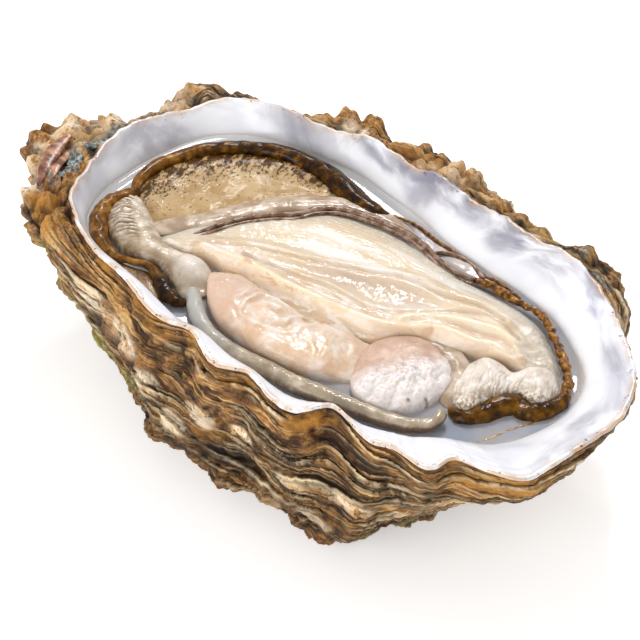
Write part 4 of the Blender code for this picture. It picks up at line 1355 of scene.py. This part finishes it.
# %% Lobe mesh
LOBE_OUTER = [
    (-42.6, 5.6), (-43.8, 1), (-41.4, -4.4), (-38, -7.2), (-34.4, -9), (-30.8, -9.2), (-27.2, -9.6),
    (-23.6, -12), (-20.4, -14.2), (-18.1, -14.7),
]
LOBE_INNER = [
    (-40.4, 5.6), (-37, 3), (-33, -0.6), (-29.5, -3.4), (-25, -4.6), (-20.6, -4.8), (-17.6, -7.4),
    (-16.6, -11),
]
LOBE_Z = 32.7


def fringe_comb(x, y, u, v):
    """A comb of short ridges, from -1 to 1, on the outer shoulder of the lobe."""
    wave = np.sin(2 * math.pi * u * 31 + 4.5 * roughen(on_flat(x, y), 2.2))
    return wave * bump(v, 0.32, 0.22) * smoothstep(0.52 - u, 0.0, 0.25)


def from_bulb(x, y):
    """Distance from the middle of the bulb."""
    return np.hypot(x + 21.5, y + 7.6)


def lobe_crown(x, y, u, v):
    grain = on_flat(x, y)
    bulb = 1.1 * bump(from_bulb(x, y), 0, 3.0)
    waist = -0.6 * bump(u, 0.93, 0.05)
    return (LOBE_Z + 0.42 * fringe_comb(x, y, u, v) + bulb + waist + 0.3 * roughen(grain, 3.4)
            + 0.08 * roughen(grain + 3.0, 0.9))


lobe = cushion("mantle_left_lobe", LOBE_OUTER, LOBE_INNER, lobe_crown, 2.6, (240, 70), power=2.4,
               marks={"outer": lambda x, y, u, v: np.clip(1 - v / 0.45, 0, 1),
                      "comb": lambda x, y, u, v: smoothstep(fringe_comb(x, y, u, v), 0.0, 0.6),
                      "valley": lambda x, y, u, v: smoothstep(-fringe_comb(x, y, u, v), 0.1, 0.7),
                      "bulb": lambda x, y, u, v: bump(from_bulb(x, y), 0, 3.4)},
               slot="mantle", stands_for=["mantle_left"])

# %% Lobe finish
look = Finish("mantle_lobe")
soft = look.noise(look.scaled(3.0), 4.0)
fine = look.noise(look.scaled(0.7), 4.0, 0.65)
colour = look.ramp(soft, (0.36, tint(164, 146, 114)), (0.52, tint(202, 186, 158)),
                   (0.66, tint(240, 232, 216)))
colour = look.over(colour, tint(244, 240, 232), look.mark("bulb"), 0.8)
colour = look.over(colour, tint(250, 244, 232), look.mark("comb"), look.between(fine, 0.40, 0.55))
colour = look.over(colour, tint(124, 86, 38), look.mark("valley"), look.between(soft, 0.30, 0.46))
colour = look.over(colour, tint(118, 88, 44), look.mark("outer"), look.broken(1.5, 0.38, 0.6, 4.0), 0.9)
flesh(look, colour, fine, 0.14, scatter=0.35, reach=0.6, ripple=(1.0, 0.13)).wear(lobe)

# %% Mottled edge of the lobe
LOBE_EDGE = [
    (-41.6, 6.4, 31.2, 1.0), (-44.4, 2.8, 30.9, 1.3), (-44.7, -1, 30.6, 1.6), (-42.9, -5, 30.5, 1.7),
    (-39.5, -8.6, 30.5, 1.4), (-36, -10.3, 30.7, 0.9), (-32.6, -10.6, 31.0, 0.7),
    (-29.2, -10.2, 31.1, 0.7), (-26.4, -11.6, 31.0, 1.1), (-23.7, -13.8, 30.8, 1.6),
    (-20.8, -15.4, 30.7, 1.4), (-18.2, -15.2, 30.6, 0.5),
]
lobe_edge = tube("mantle_left_edge", LOBE_EDGE, (260, 30), flat=0.8, lumps=0.3, lump_size=1.4, slot="mantle")
look = Finish("mottled_edge")
mottle = look.noise(look.scaled(2.4), 5.0, 0.62)
colour = look.ramp(mottle, (0.36, tint(66, 38, 2)), (0.5, tint(122, 78, 16)), (0.66, tint(174, 128, 60)))
dark_end = look.mix(look.between(mottle, 0.42, 0.6), tint(22, 10, 0), tint(74, 44, 6))
colour = look.mix(look.between(look.mark("share"), 0.66, 0.84), colour, dark_end)
flesh(look, colour, mottle, 0.2, scatter=0.1, reach=0.8, wet=0.4).wear(lobe_edge)

# %% Tan film in the pocket
POCKET_REAR = [(-37, -10.4), (-32.6, -10.8), (-29, -10.6), (-26, -12.2), (-23, -14.8)]
POCKET_FRONT = [(-36.6, -12.2), (-32.4, -14.6), (-29, -16.2), (-26, -17.2), (-22.6, -18)]


def pocket_crown(x, y, u, v):
    return 30.3 + 0.2 * np.sin(3 * v)


left_film = cushion("mantle_left_film", POCKET_REAR, POCKET_FRONT, pocket_crown, 0.5, (60, 30), slot="mantle")
look = Finish("tan_film")
soft = look.noise(look.scaled(2.2), 4.0)
colour = look.ramp(soft, (0.36, tint(112, 82, 48)), (0.5, tint(144, 114, 78)), (0.64, tint(176, 150, 116)))
flesh(look, colour, soft, 0.08, scatter=0.2, reach=0.5, wet=0.4).wear(left_film)

# %% [markdown]
# ## The front tube
# Along the front the mantle edge is a grey, glassy cord that comes off the bulb, follows the bowl and
# ends in a small curl. Its lower side carries brown dots, which merge to a dark line near the curl.

# %% Front tube
FRONT_TUBE = [
    (-20.6, -9.4, 29.2, 1.1), (-18.9, -12.2, 30.1, 1.4), (-17.0, -14.7, 30.8, 1.5),
    (-14.8, -17.2, 30.7, 1.5), (-11.4, -19.8, 30.6, 1.5), (-7.4, -21.4, 30.5, 1.5),
    (-2.6, -22.4, 30.6, 1.5), (2.4, -23, 30.7, 1.5), (7, -24, 30.8, 1.6), (12, -24.3, 30.9, 1.7),
    (17, -24.4, 30.8, 1.6), (22, -24.4, 30.7, 1.5), (26.6, -24.1, 30.7, 1.4), (30.4, -23.3, 30.8, 1.3),
    (32.8, -21.8, 31.0, 1.15), (33.4, -19.9, 31.4, 1.0), (32.8, -18.6, 31.6, 0.8),
]
front_tube = tube("mantle_front_tube", FRONT_TUBE, (420, 44), flat=0.95, lumps=0.12, lump_size=1.2,
                  slot="mantle", stands_for=["mantle_front"])
look = Finish("front_tube")
fine = look.noise(look.scaled(0.8), 4.0, 0.6)
soft = look.noise(look.scaled(2.6), 3.0)
colour = look.ramp(soft, (0.35, tint(158, 146, 124)), (0.55, tint(188, 174, 148)), (0.7, tint(222, 210, 188)))
colour = look.over(colour, tint(188, 190, 184), look.between(look.mark("share"), 0.45, 0.12))
under_side = look.times(look.math("SUBTRACT", look.mark("side"), look.mark("around")), 0.7)
low = look.times(look.between(under_side, -0.2, 0.8), look.between(look.mark("share"), 0.30, 0.70))
dots = look.between(look.plus(low, look.noise(look.scaled(0.8), 4.0, 0.7)), 0.62, 1.36)
colour = look.over(colour, tint(78, 48, 14), dots, 0.85)
flesh(look, colour, fine, 0.12, reach=0.7, ripple=(1.3, 0.12)).wear(front_tube)

# %% [markdown]
# ## The right lobes
# By the bill end two pale lobes swell over a thick olive-brown edge. Fine fringes fan out over them
# to the edge, made as a wave across each lobe that grows towards its free side, with small grains on
# top. A low bridge of the ledge's pale flesh joins them to the muscle.

# %% Right lobes
FRILL_OUTER = [
    (31.6, -12.4), (33.4, -15.2), (36.2, -16.2), (38.2, -13.4), (39.8, -10.4), (42, -8.6), (44.8, -9.6),
    (47.4, -8), (48.2, -5),
]
FRILL_INNER = [
    (31, -8.4), (31.6, -5.4), (34, -3.4), (37, -3.2), (39, -3.8), (41, -1.8), (43.6, -0.9), (46, -1.6),
    (47.4, -3.2),
]


def frill_crown(x, y, u, v):
    wander = roughen(on_flat(x, y), 2.2)
    puffs = 1.2 * bump(u, 0.30, 0.15) + 1.1 * bump(u, 0.78, 0.15)
    fringe = np.sin(2 * math.pi * u * 24 + 6.0 * wander) * (1 - v) ** 0.8
    tufts = pebbles(x, y, 1.5)
    return 31.9 + 1.1 * puffs + 0.08 * fringe + 0.30 * tufts * smoothstep(0.8 - v, 0.0, 0.6) + 0.25 * wander


frill = cushion("mantle_right_frill", FRILL_OUTER, FRILL_INNER, frill_crown, 2.0, (280, 60), power=2.4,
                marks={"outer": lambda x, y, u, v: np.clip(1 - v / 0.3, 0, 1),
                       "around": lambda x, y, u, v: u * 34, "deep": lambda x, y, u, v: v},
                slot="mantle", stands_for=["mantle_right"])
look = Finish("frill")
fine = look.noise(look.scaled(0.7), 4.0, 0.65)
soft = look.noise(look.scaled(2.2), 4.0)
colour = look.ramp(soft, (0.36, tint(212, 200, 182)), (0.5, tint(236, 228, 214)), (0.64, tint(254, 250, 242)))
stripe = look.between(look.noise(look.by_marks("around", 1.0, "deep", 0.5), 3.0), 0.46, 0.60)
colour = look.over(colour, tint(248, 242, 230), stripe, 0.45)
colour = look.over(colour, tint(150, 126, 78), look.mark("outer"), look.between(fine, 0.42, 0.6))
flesh(look, colour, fine, 0.14, reach=0.8, ripple=(1.0, 0.13)).wear(frill)

# %% Bridge and olive edge
BRIDGE = [
    (22, -4.2, 30.6, 1.6), (28, -5.8, 30.7, 2.4), (31.2, -8.4, 30.7, 2.7), (32.3, -12, 30.4, 2.3),
    (32.6, -16, 29.6, 1.8),
]
FRILL_EDGE = [
    (33.2, -16.4, 30.0, 0.8), (36, -17.2, 30.2, 1.3), (38.6, -15, 30.3, 1.8), (40.6, -12, 30.4, 2.1),
    (42.8, -10.4, 30.4, 2.0), (45, -11, 30.3, 1.8), (47.4, -9.6, 30.4, 1.7), (49, -6.8, 30.5, 1.4),
    (49.2, -4, 30.7, 1.0),
]
bridge = tube("mantle_right_bridge", BRIDGE, (90, 30), flat=0.42, lumps=0.3, lump_size=2.0, slot="mantle")
ledge_look.wear(bridge)
frill_edge = tube("mantle_right_edge", FRILL_EDGE, (220, 30), flat=0.8, lumps=0.26, lump_size=1.2,
                  slot="mantle")
look = Finish("olive_edge")
mottle = look.noise(look.scaled(2.4), 5.0, 0.6)
colour = look.ramp(mottle, (0.36, tint(36, 20, 0)), (0.50, tint(84, 52, 0)), (0.66, tint(132, 90, 14)))
flesh(look, colour, mottle, 0.2, scatter=0.1, reach=0.8, wet=0.4).wear(frill_edge)

# %% [markdown]
# ## The liquor
# The oyster lies in its own clear, slightly salty liquor. It fills the bowl up to a level a few
# millimetres under the lip, and creeps up a little where it wets the shell. It is water with a slight
# haze, bluish in front; behind the meat it is painted near white, as painted light over the deep bowl,
# which lies in shade there. So it needs only a smooth closed skin with the optics of water, half
# tinted and half clear. Lamps shine through it, so that the nacre below stays bright, which a plain
# glass shader would leave dark.

# %% Liquor mesh
LIQUOR_Z = 29.6
# Each step of the surface is a distance inside the bowl's wall and a rise over the level, in mm.
SURFACE = (
    (-0.6, 0.75), (-0.2, 0.55), (0.2, 0.36), (0.7, 0.2), (1.3, 0.09), (2.2, 0.02), (4.0, 0.0),
    (8.0, 0.0), (14.0, 0.0),
)
rows = []
for share in np.linspace(0.08, 1.0, 16):
    radius, level = bowl(bearings, share)
    rows.append(place(radius + 0.15, bearings, np.minimum(level - 0.1, LIQUOR_Z - 0.05)))
for inset, rise in SURFACE:
    rows.append(place(np.maximum(radius - inset, 1.0), bearings, np.full(SPOKES, LIQUOR_Z + rise)))
behind = 1 - smoothstep(apart(bearings, 135), 50.0, 105.0)
liquor = skin("liquor_pool", rows, {"behind": behind}, slot="liquor", stands_for=["liquor"],
              hubs=(place(0.0, 0.0, FLOOR_Z), place(0.0, 0.0, LIQUOR_Z)))

# %% Liquor finish
look = Finish("liquor")
haze = look.noise(look.scaled(9.0), 3.0, 0.5, 0.6)
colour = look.ramp(haze, (0.36, tint(198, 207, 226)), (0.5, tint(216, 219, 230)), (0.62, tint(224, 217, 212)))
# Painted light: behind the meat the liquor is painted near white, where the deep bowl below lies in shade.
colour = look.over(colour, tint(250, 249, 249), look.mark("behind"), 0.9)
look.set(Base_Color=colour, Roughness=0.02, IOR=1.33, Transmission_Weight=0.55)
ray = look.nodes.new("ShaderNodeLightPath")
clear = look.nodes.new("ShaderNodeBsdfTransparent")
clear.inputs["Color"].default_value = (0.93, 0.95, 0.97, 1.0)
either = look.nodes.new("ShaderNodeMixShader")
choice = (ray.outputs["Is Shadow Ray"], look.shader.outputs[0], clear.outputs[0])
for socket, value in zip(either.inputs, choice):
    look.feed(socket, value)
look.feed(look.nodes["Material Output"].inputs["Surface"], either.outputs[0])
look.wear(liquor)

# %% [markdown]
# ## Stain line on the liquor
# A thin brown line floats on the liquor in front of the dark edge, where pigment was left behind. It
# is a flat tube with a radius of a fifth of a millimetre, half sunk in the surface.

# %% Stain line
STAIN = [
    (27, -26.0), (31, -25.1), (35, -23.7), (40, -21.2), (42.4, -18.4), (43.7, -16.1), (46.4, -12.7),
    (49, -9.4),
]
stain_line = tube("liquor_stain", [(x, y, LIQUOR_Z + 0.02, 0.2) for x, y in STAIN], (200, 10), flat=0.45,
                  lumps=0.2, lump_size=0.7, slot="mantle")
look = Finish("stain_line")
mottle = look.noise(look.scaled(1.2), 4.0, 0.6)
colour = look.ramp(mottle, (0.4, tint(150, 108, 56)), (0.6, tint(206, 178, 134)))
flesh(look, colour, mottle, 0.1, scatter=0.1, reach=0.5).wear(stain_line)

# %% [markdown]
# ## Studio
# The photo has a pure white ground, soft light from above and a long lens. The camera looks down at
# 42 degrees across the bill end. Two small lamps overhead and behind put small wet highlights on the
# meat, a broad one from the left front fills the wall, and a white surround does the rest. The floor
# glows a little, as a lit white table does in an overexposed photo.

# %% Camera
AZIMUTH = math.radians(28.7)
ELEVATION = math.radians(42.0)
DISTANCE = 0.48
AIM = Vector(((SHIFT[0] - 3.0) * MM, (SHIFT[1] + 5.0) * MM, 17.5 * MM))
scene = bpy.context.scene
back = Vector((math.sin(AZIMUTH) * math.cos(ELEVATION), -math.cos(AZIMUTH) * math.cos(ELEVATION),
               math.sin(ELEVATION)))
camera = bpy.data.objects.new("camera", bpy.data.cameras.new("camera"))
camera.data.lens = 150.0
camera.data.sensor_width = 36.0
camera.data.clip_start = 0.01
camera.location = AIM + back * DISTANCE
camera.rotation_mode = "QUATERNION"
camera.rotation_quaternion = (-back).to_track_quat("-Z", "Y")
scene.collection.objects.link(camera)
scene.camera = camera
print("camera at", [round(c, 3) for c in camera.location])

# %% Lamps and surround
def lamp(name, where, size, watts):
    """A square soft lamp that faces the oyster."""
    light = bpy.data.lights.new(name, "AREA")
    light.size = size
    light.energy = watts
    item = bpy.data.objects.new(name, light)
    item.location = Vector(where)
    item.rotation_mode = "QUATERNION"
    item.rotation_quaternion = (AIM - item.location).to_track_quat("-Z", "Y")
    scene.collection.objects.link(item)
    print(f"{name}: {watts} W, {size} m wide")


lamp("lamp_above", (-0.10, 0.28, 0.55), 0.12, 1.9)
lamp("lamp_front", (-0.20, -0.60, 0.30), 0.4, 2.4)
lamp("lamp_back", (-0.30, 0.55, 0.58), 0.10, 0.9)

world = bpy.data.worlds.new("surround")
world.use_nodes = True
surround = world.node_tree.nodes["Background"].inputs
surround["Color"].default_value = (1.0, 1.0, 1.0, 1.0)
surround["Strength"].default_value = 0.58
scene.world = world
scene.view_settings.view_transform = "Standard"

# %% Floor
bpy.ops.mesh.primitive_plane_add(size=6.0, location=(0.0, 0.0, -0.0002))
floor = bpy.context.object
floor.name = "floor"
paper = Finish("paper")
paper.set(Base_Color=(0.95, 0.95, 0.95, 1.0), Roughness=0.9, Emission_Color=(1.0, 1.0, 1.0, 1.0),
          Emission_Strength=0.4)
paper.wear(floor)
